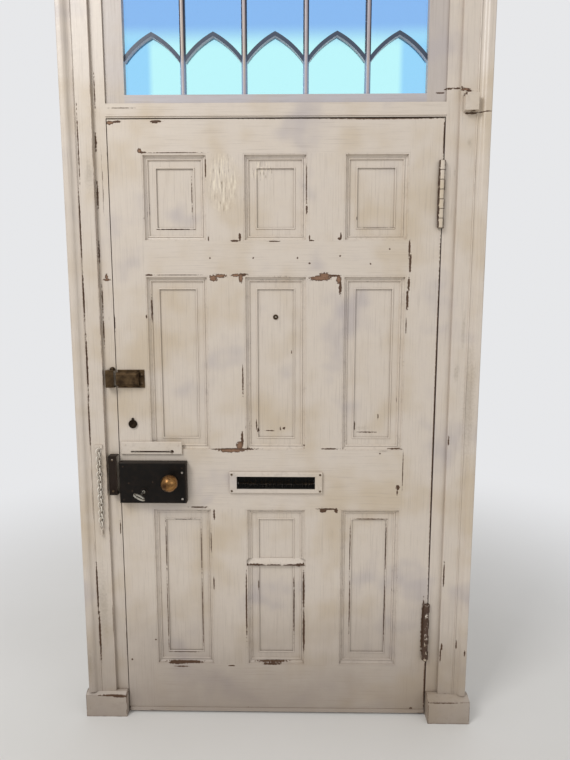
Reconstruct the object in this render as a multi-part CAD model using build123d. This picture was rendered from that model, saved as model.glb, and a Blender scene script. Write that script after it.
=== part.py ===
from build123d import *
from math import asin, cos, degrees, radians, sin, sqrt, tan
import os

# A nine-panelled front door leaf in its rebated timber frame, with a fanlight of gothic
# tracery over it. Millimetres, +Z up. The origin is on the floor at the middle of the
# doorway, in the plane of the closed leaf's room face. +X is to the right as seen from the
# room and +Y goes outdoors, so fittings on the room side lie at negative Y.

# The leaf
leaf_width = 1067
leaf_height = 2044
leaf_thick = 45
stile_width = 106
muntin_width = 118
bottom_rail_height = 183
lock_rail_height = 207
frieze_rail_height = 111
top_rail_height = 104
row_shares = (582, 585, 272)
groove_depth = 10
panel_play = 1
past = 1  # how far a cutting shape runs past the face it opens
tenon_thick = 15
tenon_haunch = 16
stub_tenon = 30

# The panels and their planted mouldings
panel_sink = 14.5
margin_width = 22
bead_radius = 2.6
field_sink = 3
moulding_sink = 0.6
moulding_fillet = 4
moulding_drop = 2
cove_radius = 7.5
cove_shelf = 1
quirk_bead = 2.5
quirk_drop = 1.5
quirk_width = 1.5
lip_share = 0.64
lip_height = 24
lip_proud = 9

# The frame
side_gap = 3
head_gap = 4
floor_gap = 8
jamb_depth = 125
jamb_thick = 63.5
stop_step = 13
stop_play = 1.5
transom_height = 44
transom_bead = 6
sash_play = 0.3
head_thick = 60
architrave_reveal = 41
architrave_width = 94.5
fascia_width = 50
fascia_proud = 12
backband_proud = 24
backband_width = 12
backband_arris = 3
architrave_bead = 5
ogee_swell = 1
block_height = 92
block_wider = 11
left_block_proud = 25
right_block_proud = 44
block_bevel = 9
block_shelf = 1
patch_inset = 8.5
patch_width = 41
patch_rise = 8
patch_height = 51
patch_proud = 22
fixing_radius = 4
fixing_rises = (350, 1050)
fixing_rises_from_leaf_top = (-290, 350)

# The fanlight
sash_thick = 40
sash_stile = 60
sash_bottom_rail = 27
sash_top_rail = 56
light_height = 340
light_count = 5
bar_width = 18
bar_front_inset = 6
bar_shoulder = 7.5
arch_width = 12
arch_front_inset = 10
fin_width = 6
glass_thick = 4
glass_inset = 24
glass_lap = 7
glass_play = 0.5
spring_height = 97
arch_rise = 86
arch_radius = 260

# The butt hinges
hinge_length = 208
hinge_rise = 213
hinge_drop = 338
hinge_inset = 6
knuckle_radius = 9
knuckle_stand = 0.5
knuckle_count = 7
knuckle_gap = 0.4
pin_radius = 3.5
running_clearance = 0.05
hinge_plate = 2.5
hinge_plate_depth = 32

# The rim lock, with its bolts drawn back
lock_left_inset = 3.5
lock_width = 226
lock_height = 142
lock_rise = 28.5
lock_depth = 30
lock_wall = 2.5
lock_face = 3
lock_rim = 3
bolt_clearance = 0.3
spindle_inset = 179
spindle_rise = 84
spindle_side = 8
knob_neck_radius = 9
spindle_play = 1
hub_radius = 10
arm_reach = 18
arm_thick = 5
latch_throw = 14
latch_head = 24
bolt_thick = 14
bolt_set_back = 1
bolt_nose = 3
bolt_head_length = 10
bolt_bar = 16
knob_radius = 28.5
knob_neck = 16
spindle_grip = 30
rose_radius = 23
rose_thick = 3
collar_radius = 17.5
key_inset = 84
key_rise = 43
key_radius = 3.5
bit_reach = 11.4
bit_thick = 3
bit_width = 9
bit_inset = 2
bit_play = 1
key_rest_angle = 61
key_collar_radius = 5
key_collar = (8, 4)
dead_throw = 20
dead_head = 26
dead_bar = 18
notch_play = 0.6
bow_stand = 60
bow_length = 42
bow_width = 27
bow_wire = 2.6
escutcheon_radius = 11
escutcheon_thick = 2
keep_width = 28
keep_height = 136
keep_rise = 28.5
keep_play = 1
keep_wall = 2.5

# The night latch, with its bolt drawn back
night_width = 90
night_height = 61
night_rise = 215
night_flange = 3
night_depth = 22
night_bevel = 7
night_border = 8
night_room = 58
night_room_play = 1
night_bolt_height = 27
night_keep_width = 27
night_keep_height = 58
night_keep_rise = 3
night_keep_deeper = 2
night_ear_radius = 9
night_ear_thick = 5
cylinder_radius = 16
cylinder_x_inset = 56
cylinder_rim = 5
cylinder_rim_thick = 4
cylinder_slit = (2, 12, 8)

# The mortice deadlock, its keyhole and the swinging cover
mortice_inset = 49
mortice_rise = 91
mortice_depth = 75
mortice_height = 110
mortice_thick = 14
mortice_wall = 2
forend_height = 150
forend_thick = 3
forend_wider = 3
mortice_throw = 14
mortice_bolt_height = 30
mortice_bolt_rise = 12
strike_border = 4
strike_border_z = 14
strike_play_z = 2
keyhole_radius = 3.6
keyhole_slot = 3.6
keyhole_drop = 11
keyplate_radius = 10.5
keyplate_thick = 2
keyplate_neck = 6
keyplate_drop = 8
keyplate_foot_radius = 9
cover_radius = 14.5
cover_thick = 2.5
cover_pivot_rise = 17
cover_lug_radius = 4
cover_pin_radius = 1.5
cover_cap_radius = 3
cover_cap_thick = 1.5

# The chain and its slide
slide_inset = 6.5
slide_width = 208
slide_drop = 13
slide_height = 43
slide_proud = 8
slide_face = 3
slide_chamfer = 1.5
slide_channel_end = 4
slot_inset = 34
slot_length = 140
slot_height = 6
slot_rise = 9
slot_entry_radius = 6.5
staple_inset = 23.5
staple_level = 19
staple_width = 26
staple_height = 12
staple_rise = 1
staple_thick = 4
staple_tail = (8, 1.5, 4)
staple_stud = 3
link_count = 20
link_pitch = 13.5
link_wire = 1.7
link_width = 13
link_touch = 0.05
button_radius = 5.5
button_length = 16
button_thick = 3

# The letter plate and the door viewer
slot_width = 268
letter_rise = 73
slot_tall = 44
letter_border = 25
letter_plate_tall = 74
letter_proud = 9
letter_chamfer = 2
outer_letter_proud = 6
flap_thick = 3
flap_play = 1
flap_pin_radius = 2
flap_pin_drop = 3.5
flap_pin_end = 6
brush_inset = 3
brush_thick = 4
brush_gap = 3
viewer_share = 0.771
viewer_bore = 6.5
viewer_flange = 8.5
viewer_flange_thick = 2.5
viewer_wall = 2
viewer_eye_depth = 4

# The draught strip along the foot of the leaf, and the screws that show
strip_height = 14
strip_proud = 3
strip_end = 1
letter_screw_inset = 8
lock_screw_inset = 12
lock_screw_rises = (16, 108)
night_screw_inset = 16
slide_screw_inset = 14
slide_screw_drop = 10
keep_screw_inset = 14
staple_screw_offset = 8
screw_head_radius = 3.6
screw_head_high = 1.4
screw_sides = 20
screw_taper = 30
screw_slot = 0.9

# Places worked out from the sizes above
half = leaf_width / 2
leaf_bottom = floor_gap
leaf_top = floor_gap + leaf_height
panel_width = (leaf_width - 2 * stile_width - 2 * muntin_width) / 3
rows_together = leaf_height - (bottom_rail_height + lock_rail_height + frieze_rail_height
                               + top_rail_height)
row_heights = [rows_together * share / sum(row_shares) for share in row_shares]
lower_row = (leaf_bottom + bottom_rail_height, leaf_bottom + bottom_rail_height + row_heights[0])
middle_row = (lower_row[1] + lock_rail_height, lower_row[1] + lock_rail_height + row_heights[1])
upper_row = (middle_row[1] + frieze_rail_height, middle_row[1] + frieze_rail_height + row_heights[2])
rows = {"lower": lower_row, "middle": middle_row, "upper": upper_row}
panel_y = (panel_sink, leaf_thick - panel_sink)
tenon_y = ((leaf_thick - tenon_thick) / 2, (leaf_thick + tenon_thick) / 2)

jamb_face = half + side_gap
jamb_back = jamb_face + jamb_thick
stop_y = leaf_thick + stop_play
transom_bottom = leaf_top + head_gap
transom_top = transom_bottom + transom_height
sash_bottom = transom_top + sash_play
light_bottom = sash_bottom + sash_bottom_rail
light_top = light_bottom + light_height
sash_top = light_top + sash_top_rail
head_bottom = sash_top + sash_play
frame_top = head_bottom + head_thick
sash_y = (stop_y - sash_thick, stop_y)
sash_half = jamb_face - sash_play
light_half = sash_half - sash_stile
bar_pitch = (2 * light_half + bar_width) / light_count
glass_y = (sash_y[0] + glass_inset, sash_y[0] + glass_inset + glass_thick)
trim_inner = jamb_face + architrave_reveal
trim_top = head_bottom + architrave_reveal
patch_bottom = transom_bottom + patch_rise
fixing_y = (stop_y + jamb_depth) / 2
fixing_heights = fixing_rises + tuple(leaf_top + rise for rise in fixing_rises_from_leaf_top)

hinge_x = half - hinge_inset
hinge_y = -knuckle_radius - knuckle_stand
knuckle_length = hinge_length / knuckle_count
hinge_bottoms = (leaf_bottom + hinge_rise, leaf_top - hinge_drop)

lock_x = (-half + lock_left_inset, -half + lock_left_inset + lock_width)
lock_bottom = lower_row[1] + lock_rise
lock_z = (lock_bottom, lock_bottom + lock_height)
keep_right = -jamb_face - keep_play
keep_bottom = lock_bottom + keep_rise
spindle_x = lock_x[0] + spindle_inset
spindle_z = lock_bottom + spindle_rise
key_x = lock_x[0] + key_inset
key_z = lock_bottom + key_rise
bolt_y = (-lock_depth / 2 - bolt_thick / 2 + bolt_set_back,
          -lock_depth / 2 + bolt_thick / 2 + bolt_set_back)
night_x = (lock_x[0], lock_x[0] + night_width)
night_bottom = middle_row[0] + night_rise
night_keep_bottom = night_bottom + night_keep_rise
night_z = (night_bottom, night_bottom + night_height)
night_bolt_z = (night_bottom + (night_height - night_bolt_height) / 2,
                night_bottom + (night_height + night_bolt_height) / 2)
night_bolt_y = (-night_depth + night_flange + bolt_set_back + bolt_clearance, -night_flange)
mortice_x = -half + mortice_inset
lining_thick = forend_thick + mortice_throw
mortice_z = middle_row[0] + mortice_rise
slide_left = -half + slide_inset
slide_bottom = middle_row[0] - slide_drop
slot_left = slide_left + slot_inset
slot_z = slide_bottom + slot_rise
staple_x = -trim_inner - staple_inset
staple_z = slide_bottom + staple_level
viewer_z = middle_row[0] + viewer_share * row_heights[1]
slot_bottom = lower_row[1] + letter_rise
letter_z = (slot_bottom + slot_tall / 2 - letter_plate_tall / 2,
            slot_bottom + slot_tall / 2 + letter_plate_tall / 2)
letter_half = slot_width / 2 + letter_border
flap_pin_z = slot_bottom + slot_tall - flap_pin_drop
flap_pin_y = leaf_thick + outer_letter_proud / 2


def block(x, y, z):
    """A box between two places on each axis."""
    size = [b - a for a, b in (x, y, z)]
    return Pos(*[(a + b) / 2 for a, b in (x, y, z)]) * Box(*size)


def rod_x(radius, x, y, z):
    return Pos((x[0] + x[1]) / 2, y, z) * Rot(0, 90, 0) * Cylinder(radius, x[1] - x[0])


def rod_y(radius, x, y, z):
    return Pos(x, (y[0] + y[1]) / 2, z) * Rot(90, 0, 0) * Cylinder(radius, y[1] - y[0])


def rod_z(radius, x, y, z):
    return Pos(x, y, (z[0] + z[1]) / 2) * Cylinder(radius, z[1] - z[0])


def along_y(sketch, y):
    """A sketch drawn in X and Z, made solid between two places on Y."""
    return extrude(Plane.XZ.offset(-y[0]) * sketch, amount=-(y[1] - y[0]))


def along_x(sketch, x):
    """A sketch drawn in Y and Z, made solid between two places on X."""
    return extrude(Plane.YZ.offset(x[0]) * sketch, amount=x[1] - x[0])


def along_z(sketch, z):
    return extrude(Plane.XY.offset(z[0]) * sketch, amount=z[1] - z[0])


def face(*points):
    return make_face(Polyline(*points, close=True))


def column(index):
    """The two sides of a panel opening, counted from the left."""
    left = -half + stile_width + index * (panel_width + muntin_width)
    return (left, left + panel_width)


def solids(shapes):
    """Several pieces kept apart in one node."""
    found = []
    for shape in shapes:
        found.extend(shape.solids())
    return Compound(children=found)


def screw_head(x, y, z, turn):
    """A tapered slotted head that stands on a plate at y, facing the room."""
    foot = Plane.XZ.offset(-y) * Pos(x, z) * RegularPolygon(screw_head_radius, screw_sides)
    head = extrude(foot, amount=screw_head_high, taper=screw_taper)
    slot = Box(3 * screw_head_radius, screw_head_high, screw_slot)
    return head - Pos(x, y - screw_head_high, z) * Rot(0, turn, 0) * slot


# The leaf's joinery

def panel_pockets():
    """The grooves for all nine panels, cut from every member that they touch."""
    cuts = []
    for z in rows.values():
        for index in range(3):
            x = column(index)
            cuts.append(block((x[0] - groove_depth, x[1] + groove_depth), panel_y,
                              (z[0] - groove_depth, z[1] + groove_depth)))
    return cuts


def rail_spans():
    return {
        "bottom_rail": (leaf_bottom, lower_row[0]),
        "lock_rail": (lower_row[1], middle_row[0]),
        "frieze_rail": (middle_row[1], upper_row[0]),
        "top_rail": (upper_row[1], leaf_top),
    }


def tenon(span, x):
    return block(x, tenon_y, (span[0] + tenon_haunch, span[1] - tenon_haunch))


def muntin_centres():
    return [column(index)[1] + muntin_width / 2 for index in range(2)]


def stub(x_mid, z_root, up):
    reach = (z_root, z_root + stub_tenon) if up else (z_root - stub_tenon, z_root)
    width = muntin_width / 2 - tenon_haunch
    return block((x_mid - width, x_mid + width), tenon_y, reach)


def stubs_into(span):
    cuts = []
    for x_mid in muntin_centres():
        if span[0] > leaf_bottom:
            cuts.append(stub(x_mid, span[0], True))
        if span[1] < leaf_top:
            cuts.append(stub(x_mid, span[1], False))
    return cuts


def keyhole(x, z, y):
    """A round hole with a slot under it for the key's bit."""
    slot = block((x - keyhole_slot / 2, x + keyhole_slot / 2), y, (z - keyhole_drop, z))
    return rod_y(keyhole_radius, x, y, z) + slot


def hinge_recess(side):
    """The shallow bed for a hinge plate, in the leaf's edge or in the jamb."""
    if side == "leaf":
        x = (half - hinge_plate, half)
    else:
        x = (jamb_face, jamb_face + hinge_plate)
    return [block(x, (0, hinge_plate_depth), (low, low + hinge_length)) for low in hinge_bottoms]


def stile(side):
    if side == "lock":
        x = (-half, -half + stile_width)
    else:
        x = (half - stile_width, half)
    body = block(x, (0, leaf_thick), (leaf_bottom, leaf_top))
    body -= panel_pockets()
    body -= [tenon(span, x) for span in rail_spans().values()]
    return body


def lock_stile():
    through = (0, leaf_thick)
    body = stile("lock")
    body -= keyhole(key_x, key_z, through)
    body -= keyhole(mortice_x, mortice_z, through)
    body -= mortice_pocket()
    body -= rod_y(cylinder_radius, night_cylinder_x(), through, night_middle())
    return body


def hanging_stile():
    return stile("hanging") - hinge_recess("leaf")


def rail(name):
    span = rail_spans()[name]
    body = block((-half + stile_width, half - stile_width), (0, leaf_thick), span)
    body -= panel_pockets()
    body -= stubs_into(span)
    body += tenon(span, (-half, -half + stile_width))
    body += tenon(span, (half - stile_width, half))
    return body


def lock_rail():
    through = (0, leaf_thick)
    body = rail("lock_rail")
    body -= block((-slot_width / 2, slot_width / 2), through, (slot_bottom, slot_bottom + slot_tall))
    body -= keyhole(key_x, key_z, through)
    body -= rod_y(knob_neck_radius + spindle_play, spindle_x, through, spindle_z)
    return body


def muntins():
    """The six short uprights between the panels, stub-tenoned into the rails."""
    made = []
    for z in rows.values():
        for x_mid in muntin_centres():
            x = (x_mid - muntin_width / 2, x_mid + muntin_width / 2)
            body = block(x, (0, leaf_thick), z) - panel_pockets()
            made.append(body + stub(x_mid, z[1], True) + stub(x_mid, z[0], False))
    return solids(made)


# The panels

def field_box(x, z):
    inset = moulding_width() + margin_width
    return (x[0] + inset, x[1] - inset), (z[0] + inset, z[1] - inset)


def field_ring(x, z, y):
    """The half-round bead that frames a panel's sunk field."""
    lengths = [rod_x(bead_radius, x, y, place) for place in z]
    uprights = [rod_z(bead_radius, place, y, z) for place in x]
    corners = [Pos(a, y, b) * Sphere(bead_radius) for a in x for b in z]
    return lengths + uprights + corners


def panel(x, z, bore=None):
    """One panel board with a beaded, sunk field on both faces."""
    tongue = groove_depth - panel_play
    board = block(spread(x, tongue), panel_y, spread(z, tongue))
    field_x, field_z = field_box(x, z)
    for y, sink in ((panel_y[0], (panel_y[0], panel_y[0] + field_sink)),
                    (panel_y[1], (panel_y[1] - field_sink, panel_y[1]))):
        board -= block(field_x, sink, field_z)
        board += field_ring(field_x, field_z, y)
    if bore:
        board -= rod_y(bore, 0, panel_y, viewer_z)
    return board


def panels():
    """The eight panels that are one board each."""
    made = []
    for row, z in rows.items():
        for index in range(3):
            if (row, index) != ("lower", 1):
                bore = viewer_bore if (row, index) == ("middle", 1) else None
                made.append(panel(column(index), z, bore))
    return solids(made)


def lip_z():
    low = lower_row[0] + lip_share * row_heights[0]
    return (low, low + lip_height)


def centre_board(upper):
    """The lower middle panel is two boards, and the upper one ends in a standing lip."""
    x = column(1)
    board = panel(x, lower_row)
    side = block(spread(x, groove_depth), (0, leaf_thick), (0, lip_z()[0]))
    if not upper:
        return board & side
    low, high = lip_z()
    front = panel_sink - lip_proud
    back = panel_sink + field_sink
    wedge = face((back, low), (front, low), (front, low + lip_height / 3), (panel_sink, high), (back, high))
    return (board - side) + along_x(wedge, x)


def moulding_width():
    return moulding_fillet + cove_radius + cove_shelf + 2 * quirk_bead + quirk_width


def moulding_section():
    """The planted moulding: fillet, drop, cove, bead and quirk, from the opening's edge inward.

    The first coordinate runs in from the edge and the second runs down into the leaf.
    """
    top = moulding_sink
    a = moulding_fillet
    b = a + cove_radius
    shelf = top + moulding_drop + cove_radius
    bead_left = b + cove_shelf
    bead_right = bead_left + 2 * quirk_bead
    bead_base = shelf + quirk_drop
    end = moulding_width()
    slant = sqrt(0.5) * cove_radius
    cove_middle = (b - slant, shelf - cove_radius + slant)
    lines = Polyline((0, panel_sink), (0, top), (a, top), (a, top + moulding_drop))
    lines += ThreePointArc((a, top + moulding_drop), cove_middle, (b, shelf))
    lines += Polyline((b, shelf), (bead_left, shelf), (bead_left, bead_base))
    bead_top = ((bead_left + bead_right) / 2, bead_base - quirk_bead)
    lines += ThreePointArc((bead_left, bead_base), bead_top, (bead_right, bead_base))
    lines += Polyline((bead_right, bead_base), (end, panel_sink), (0, panel_sink))
    return make_face(lines)


def mitred_lengths(x, z, outside):
    """The four mitred lengths of moulding round one opening, on one face of the leaf."""
    section = moulding_section()
    if outside:
        section = mirror(section, Plane.XZ)
        section = Pos(0, leaf_thick, 0) * section
    w = moulding_width()
    wide = x[1] - x[0]
    tall = z[1] - z[0]
    made = []
    for turn, length, side in ((0, tall, wide), (90, wide, tall), (180, tall, wide), (270, wide, tall)):
        bar = along_z(section, (-length / 2, length / 2))
        mitre = along_y(face((0, -length / 2), (0, length / 2), (w, length / 2 - w), (w, w - length / 2)),
                        (0, leaf_thick))
        piece = Pos(-side / 2, 0, 0) * (bar & mitre)
        middle = Pos((x[0] + x[1]) / 2, 0, (z[0] + z[1]) / 2)
        made.append(middle * Rot(0, turn, 0) * piece)
    return made


def mouldings(outside):
    """All the mouldings on one face, cut away on the room side where the lip stands."""
    made = []
    for row, z in rows.items():
        for index in range(3):
            lengths = mitred_lengths(column(index), z, outside)
            if (row, index) == ("lower", 1) and not outside:
                gap = block(column(1), (0, panel_sink), lip_z())
                lengths = [piece - gap for piece in lengths]
            made += lengths
    return solids(made)


# The frame

def jamb(side):
    """A rebated post: the post itself, bored for its fixings, and the stop planted on it."""
    stop = block((jamb_face - stop_step, jamb_face), (stop_y, jamb_depth), (0, frame_top))
    bores = [rod_x(fixing_radius, (jamb_face - stop_step - past, jamb_back + past), fixing_y, z)
             for z in fixing_heights]
    if side == "right":
        post = block((jamb_face, jamb_back), (0, jamb_depth), (0, frame_top)) - hinge_recess("jamb")
        return solids([post - bores, stop - bores])
    pieces = [block((jamb_face + lining_thick, jamb_back), (0, jamb_depth), (0, frame_top)), stop]
    made = [mirror(piece - bores, Plane.YZ) for piece in pieces]
    bores = [mirror(bore, Plane.YZ) for bore in bores]
    return solids(made + [length - bores for length in linings()])


def linings():
    """The left post's face, in lengths that leave the hole for the mortice bolt between them."""
    x = (-jamb_face - lining_thick, -jamb_face)
    z = spread(mortice_bolt_z(), strike_border_z)
    y = spread(strike_y(), -strike_border)
    hole_z = spread(mortice_bolt_z(), strike_play_z)
    made = [block(x, (0, jamb_depth), (0, z[0])), block(x, (0, jamb_depth), (z[1], frame_top))]
    made += [block(x, (0, y[0]), z), block(x, (y[1], jamb_depth), z)]
    made += [block(x, y, (z[0], hole_z[0])), block(x, y, (hole_z[1], z[1]))]
    return [length - strike_recess() for length in made]


def transom():
    """The transom has a bead on its room face, and its own planted stop below for the leaf."""
    low = transom_bottom
    front = block((-jamb_face, jamb_face), (0, stop_y), (low, transom_top))
    front += rod_x(transom_bead / 2, (-jamb_face, jamb_face), 0, low + transom_bead)
    return solids([front, stop_between(low, transom_top)])


def stop_between(low, high):
    """The part of a cross member that stands down as a stop between the posts' stops."""
    side = jamb_face - stop_step
    return block((-side, side), (stop_y, jamb_depth), (low - stop_step, high))


def frame_head():
    front = block((-jamb_face, jamb_face), (0, stop_y), (head_bottom, frame_top))
    return solids([front, stop_between(head_bottom, frame_top)])


def architrave_section():
    """Fascia, bead, ogee and back band, from the doorway outward, in X and Y."""
    a = fascia_width
    end = architrave_width
    band = end - backband_width
    bead = architrave_bead
    rise = backband_proud - fascia_proud
    ogee = band - a - bead
    lines = Polyline((0, 0), (0, -fascia_proud), (a, -fascia_proud))
    lines += ThreePointArc((a, -fascia_proud), (a + bead / 2, -fascia_proud - bead / 2),
                           (a + bead, -fascia_proud))
    knee = (a + bead + ogee / 2, -fascia_proud - rise / 2)
    lines += ThreePointArc((a + bead, -fascia_proud),
                           (a + bead + ogee / 4 + ogee_swell, -fascia_proud - rise / 8), knee)
    lines += ThreePointArc(knee, (band - ogee / 4 - ogee_swell, -backband_proud + rise / 8),
                           (band, -backband_proud))
    arris = backband_arris
    lines += Polyline((band, -backband_proud), (end - arris, -backband_proud),
                      (end, -backband_proud + arris), (end, 0), (0, 0))
    return make_face(lines)


def architrave(side):
    """One side architrave, mitred at the head and standing on its plinth block."""
    long = trim_top + architrave_width
    post = Pos(trim_inner, 0, 0) * along_z(architrave_section(), (block_height, long))
    cut = along_y(face((trim_inner, trim_top), (trim_inner + architrave_width, long),
                       (trim_inner, long)), (-backband_proud - past, past))
    post -= cut
    return mirror(post, Plane.YZ) if side == "left" else post


def head_architrave():
    """The same section laid along the head, mitred to the side architraves."""
    section = Rot(0, 0, 90) * mirror(architrave_section(), Plane.XZ)
    reach = trim_inner + architrave_width
    bar = along_x(Pos(0, trim_top) * section, (-reach, reach))
    keep = along_y(face((-trim_inner, trim_top), (trim_inner, trim_top),
                        (reach, trim_top + architrave_width), (-reach, trim_top + architrave_width)),
                   (-backband_proud - past, past))
    return bar & keep


def plinth_block(side):
    proud = left_block_proud if side == "left" else right_block_proud
    top = block_height
    section = face((0, 0), (-proud, 0), (-proud, top - block_bevel), (-fascia_proud - block_shelf, top), (0, top))
    made = along_x(section, (jamb_face + keep_play, trim_inner + architrave_width + block_wider))
    return mirror(made, Plane.YZ) if side == "left" else made


def patch_block():
    left = trim_inner + patch_inset
    return block((left, left + patch_width), (-fascia_proud - patch_proud, -fascia_proud),
                 (patch_bottom, patch_bottom + patch_height))


# The fanlight

def sash_members():
    """Two stiles and two rails, rebated behind for the glass."""
    lap = glass_lap + glass_play
    y0, y1 = sash_y
    outer = block((-sash_half, sash_half), sash_y, (sash_bottom, sash_top))
    sight = block((-light_half, light_half), sash_y, (light_bottom, light_top))
    rebate = block((-light_half - lap, light_half + lap), (glass_y[0], y1),
                   (light_bottom - lap, light_top + lap))
    ring = outer - sight - rebate
    upright = [block(x, (y0 - past, y1 + past), (sash_bottom, sash_top))
               for x in ((-sash_half, -light_half), (light_half, sash_half))]
    sides = [ring & part for part in upright]
    rails = ring - upright
    return solids(sides), rails


def bar_places():
    return [(index - light_count / 2 + 1) * bar_pitch for index in range(light_count - 1)]


def glazing_bars():
    """Upright bars with a rounded nose to the room and a fin that parts the glass."""
    nose_y = sash_y[0] + bar_front_inset
    flat = nose_y + bar_shoulder
    made = []
    for x in bar_places():
        a = bar_width / 2
        lines = Polyline((x - a, flat), (x - a, glass_y[0]), (x - fin_width / 2, glass_y[0]),
                         (x - fin_width / 2, sash_y[1]), (x + fin_width / 2, sash_y[1]),
                         (x + fin_width / 2, glass_y[0]), (x + a, glass_y[0]), (x + a, flat))
        lines += ThreePointArc((x + a, flat), (x, nose_y), (x - a, flat))
        made.append(along_z(make_face(lines), (light_bottom, light_top)))
    return solids(made)


def arch_half(width, y, clear):
    """Half a pointed arch, a band of constant width between a bar and the arch's own middle."""
    span = bar_pitch / 2
    chord = sqrt(span ** 2 + arch_rise ** 2)
    lean = degrees(asin(arch_rise / chord))
    back = sqrt(arch_radius ** 2 - (chord / 2) ** 2)
    middle_x = -span / 2 + back * sin(radians(lean))
    middle_z = arch_rise / 2 - back * cos(radians(lean))
    ring = Pos(middle_x, middle_z) * (Circle(arch_radius + width / 2) - Circle(arch_radius - width / 2))
    window = Pos(-(span - clear) / 2, arch_rise / 2) * Rectangle(span - clear, 3 * arch_rise)
    return along_y(Pos(0, light_bottom + spring_height) * (ring & window), y)


def light_centres():
    return [(index - (light_count - 1) / 2) * bar_pitch for index in range(light_count)]


def arch_at(x, width, y, clear):
    half_arch = arch_half(width, y, clear)
    return Pos(x, 0, 0) * (half_arch + mirror(half_arch, Plane.YZ))


def arch_bars():
    made = []
    for x in light_centres():
        nose = arch_at(x, arch_width, (sash_y[0] + arch_front_inset, glass_y[0]), bar_width / 2)
        fin = arch_at(x, fin_width, (glass_y[0], sash_y[1]), bar_width / 2)
        made.append(nose + fin)
    return solids(made)


def panes(lower):
    """The glass of each light, parted by the arch's fin into a lower and an upper pane."""
    made = []
    for index, x in enumerate(light_centres()):
        left = x - bar_pitch / 2 + fin_width / 2 + glass_play
        right = x + bar_pitch / 2 - fin_width / 2 - glass_play
        if index == 0:
            left = -light_half - glass_lap
        if index == light_count - 1:
            right = light_half + glass_lap
        sheet = block((left, right), glass_y, (light_bottom - glass_lap, light_top + glass_lap))
        sheet -= arch_at(x, fin_width + 2 * glass_play, (glass_y[0] - past, glass_y[1] + past), 0)
        pieces = sorted(sheet.solids(), key=lambda part: part.center().Z)
        middle = light_bottom + spring_height + arch_rise / 2
        made += [part for part in pieces if (part.center().Z < middle) == lower]
    return solids(made)


# The hinges

def hinge_parts(low):
    """A seven-knuckle butt hinge: the leaf's half, the frame's half and the pin."""
    leaf_half = block((half - hinge_plate, half), (0, hinge_plate_depth), (low, low + hinge_length))
    frame_half = block((jamb_face, jamb_face + hinge_plate), (0, hinge_plate_depth),
                       (low, low + hinge_length))
    for index in range(knuckle_count):
        z = (low + index * knuckle_length + knuckle_gap / 2,
             low + (index + 1) * knuckle_length - knuckle_gap / 2)
        barrel = rod_z(knuckle_radius, hinge_x, hinge_y, z)
        if index % 2:
            leaf_half += barrel + block((half - hinge_plate, half), (hinge_y, 0), z)
        else:
            edge = jamb_face + hinge_plate
            frame_half += barrel + block((jamb_face, edge), (hinge_y, 0), z)
            frame_half += block((hinge_x, edge), (hinge_y, hinge_y + hinge_plate), z)
    bore = rod_z(pin_radius + running_clearance, hinge_x, hinge_y, (low - past, low + hinge_length + past))
    pin = rod_z(pin_radius, hinge_x, hinge_y, (low, low + hinge_length))
    return leaf_half - bore, frame_half - bore, pin


# The rim lock

def lock_case():
    """A folded iron case, open towards the leaf, with windows for the two bolts."""
    box = block(lock_x, (-lock_depth, 0), lock_z)
    front = box.faces().sort_by(Axis.Y)[0]
    box = chamfer(front.edges(), lock_rim)
    box -= block((lock_x[0] + lock_wall, lock_x[1] - lock_wall), (-lock_depth + lock_face, 0),
                 (lock_z[0] + lock_wall, lock_z[1] - lock_wall))
    for z in (latch_head_z(), dead_head_z()):
        box -= block((lock_x[0] - past, lock_x[0] + lock_wall + past), spread(bolt_y, bolt_clearance),
                     spread(z, bolt_clearance))
    front_y = (-lock_depth - past, -lock_depth + lock_face + past)
    ring_y = (-lock_depth - escutcheon_thick, -lock_depth)
    box += rod_y(collar_radius, spindle_x, ring_y, spindle_z)
    box -= rod_y(knob_neck_radius + running_clearance, spindle_x, (ring_y[0] - past, front_y[1]), spindle_z)
    box += rod_y(escutcheon_radius, key_x, ring_y, key_z)
    through = (ring_y[0] - past, front_y[1])
    box -= rod_y(key_radius + running_clearance, key_x, through, key_z)
    slot = (bit_thick + bit_play) / 2
    box -= block((key_x - slot, key_x + slot), through, (key_z - bit_reach - bit_play, key_z))
    return box


def spread(span, extra):
    return (span[0] - extra, span[1] + extra)


def latch_head_z():
    low = latch_bar_z()[0]
    return (low, low + latch_head)


def latch_bar_z():
    low = spindle_z + hub_radius + bolt_clearance
    return (low, low + bolt_bar)


def dead_bar_z():
    high = key_z - key_radius - bolt_clearance
    return (high - dead_bar, high)


def dead_head_z():
    low = keep_bottom + keep_wall + 2 * bolt_clearance
    return (low, low + dead_head)


def latch_bolt():
    """A bevelled head on a bar that the hub's arm slides through a notch in its lower edge."""
    nose = lock_x[0]
    head_z = latch_head_z()
    y0, y1 = bolt_y
    slant = bolt_thick - bolt_nose
    end = nose + slant + bolt_head_length
    head = face((nose, y1), (nose, y1 - bolt_nose), (nose + slant, y0), (end, y0), (end, y1))
    bolt = along_z(head, head_z)
    bolt += block((nose + slant, spindle_x + arm_reach + hub_radius), bolt_y, latch_bar_z())
    near = hub_radius + bolt_clearance
    notch = notch_span(spindle_x, near, latch_swing(), latch_throw, arm_thick)
    depth = spindle_z + arm_reach + 2 * notch_play
    return bolt - block(notch, spread(bolt_y, past), (latch_bar_z()[0] - past, depth))


def latch_swing():
    """Half the angle through which the hub's arm throws the latch."""
    return asin(latch_throw / 2 / arm_reach)


def notch_span(x, near, swing, throw, thick):
    """Where a bolt's notch must lie for a turning arm to stay inside it over its whole travel.

    The arm crosses the bolt's edge at the distance called near, and lags most there.
    """
    lag = abs(throw / 2 - near * tan(swing))
    wide = lag + thick / 2 / cos(swing) + notch_play
    middle = x + throw / 2
    return (middle - wide, middle + wide)


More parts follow.
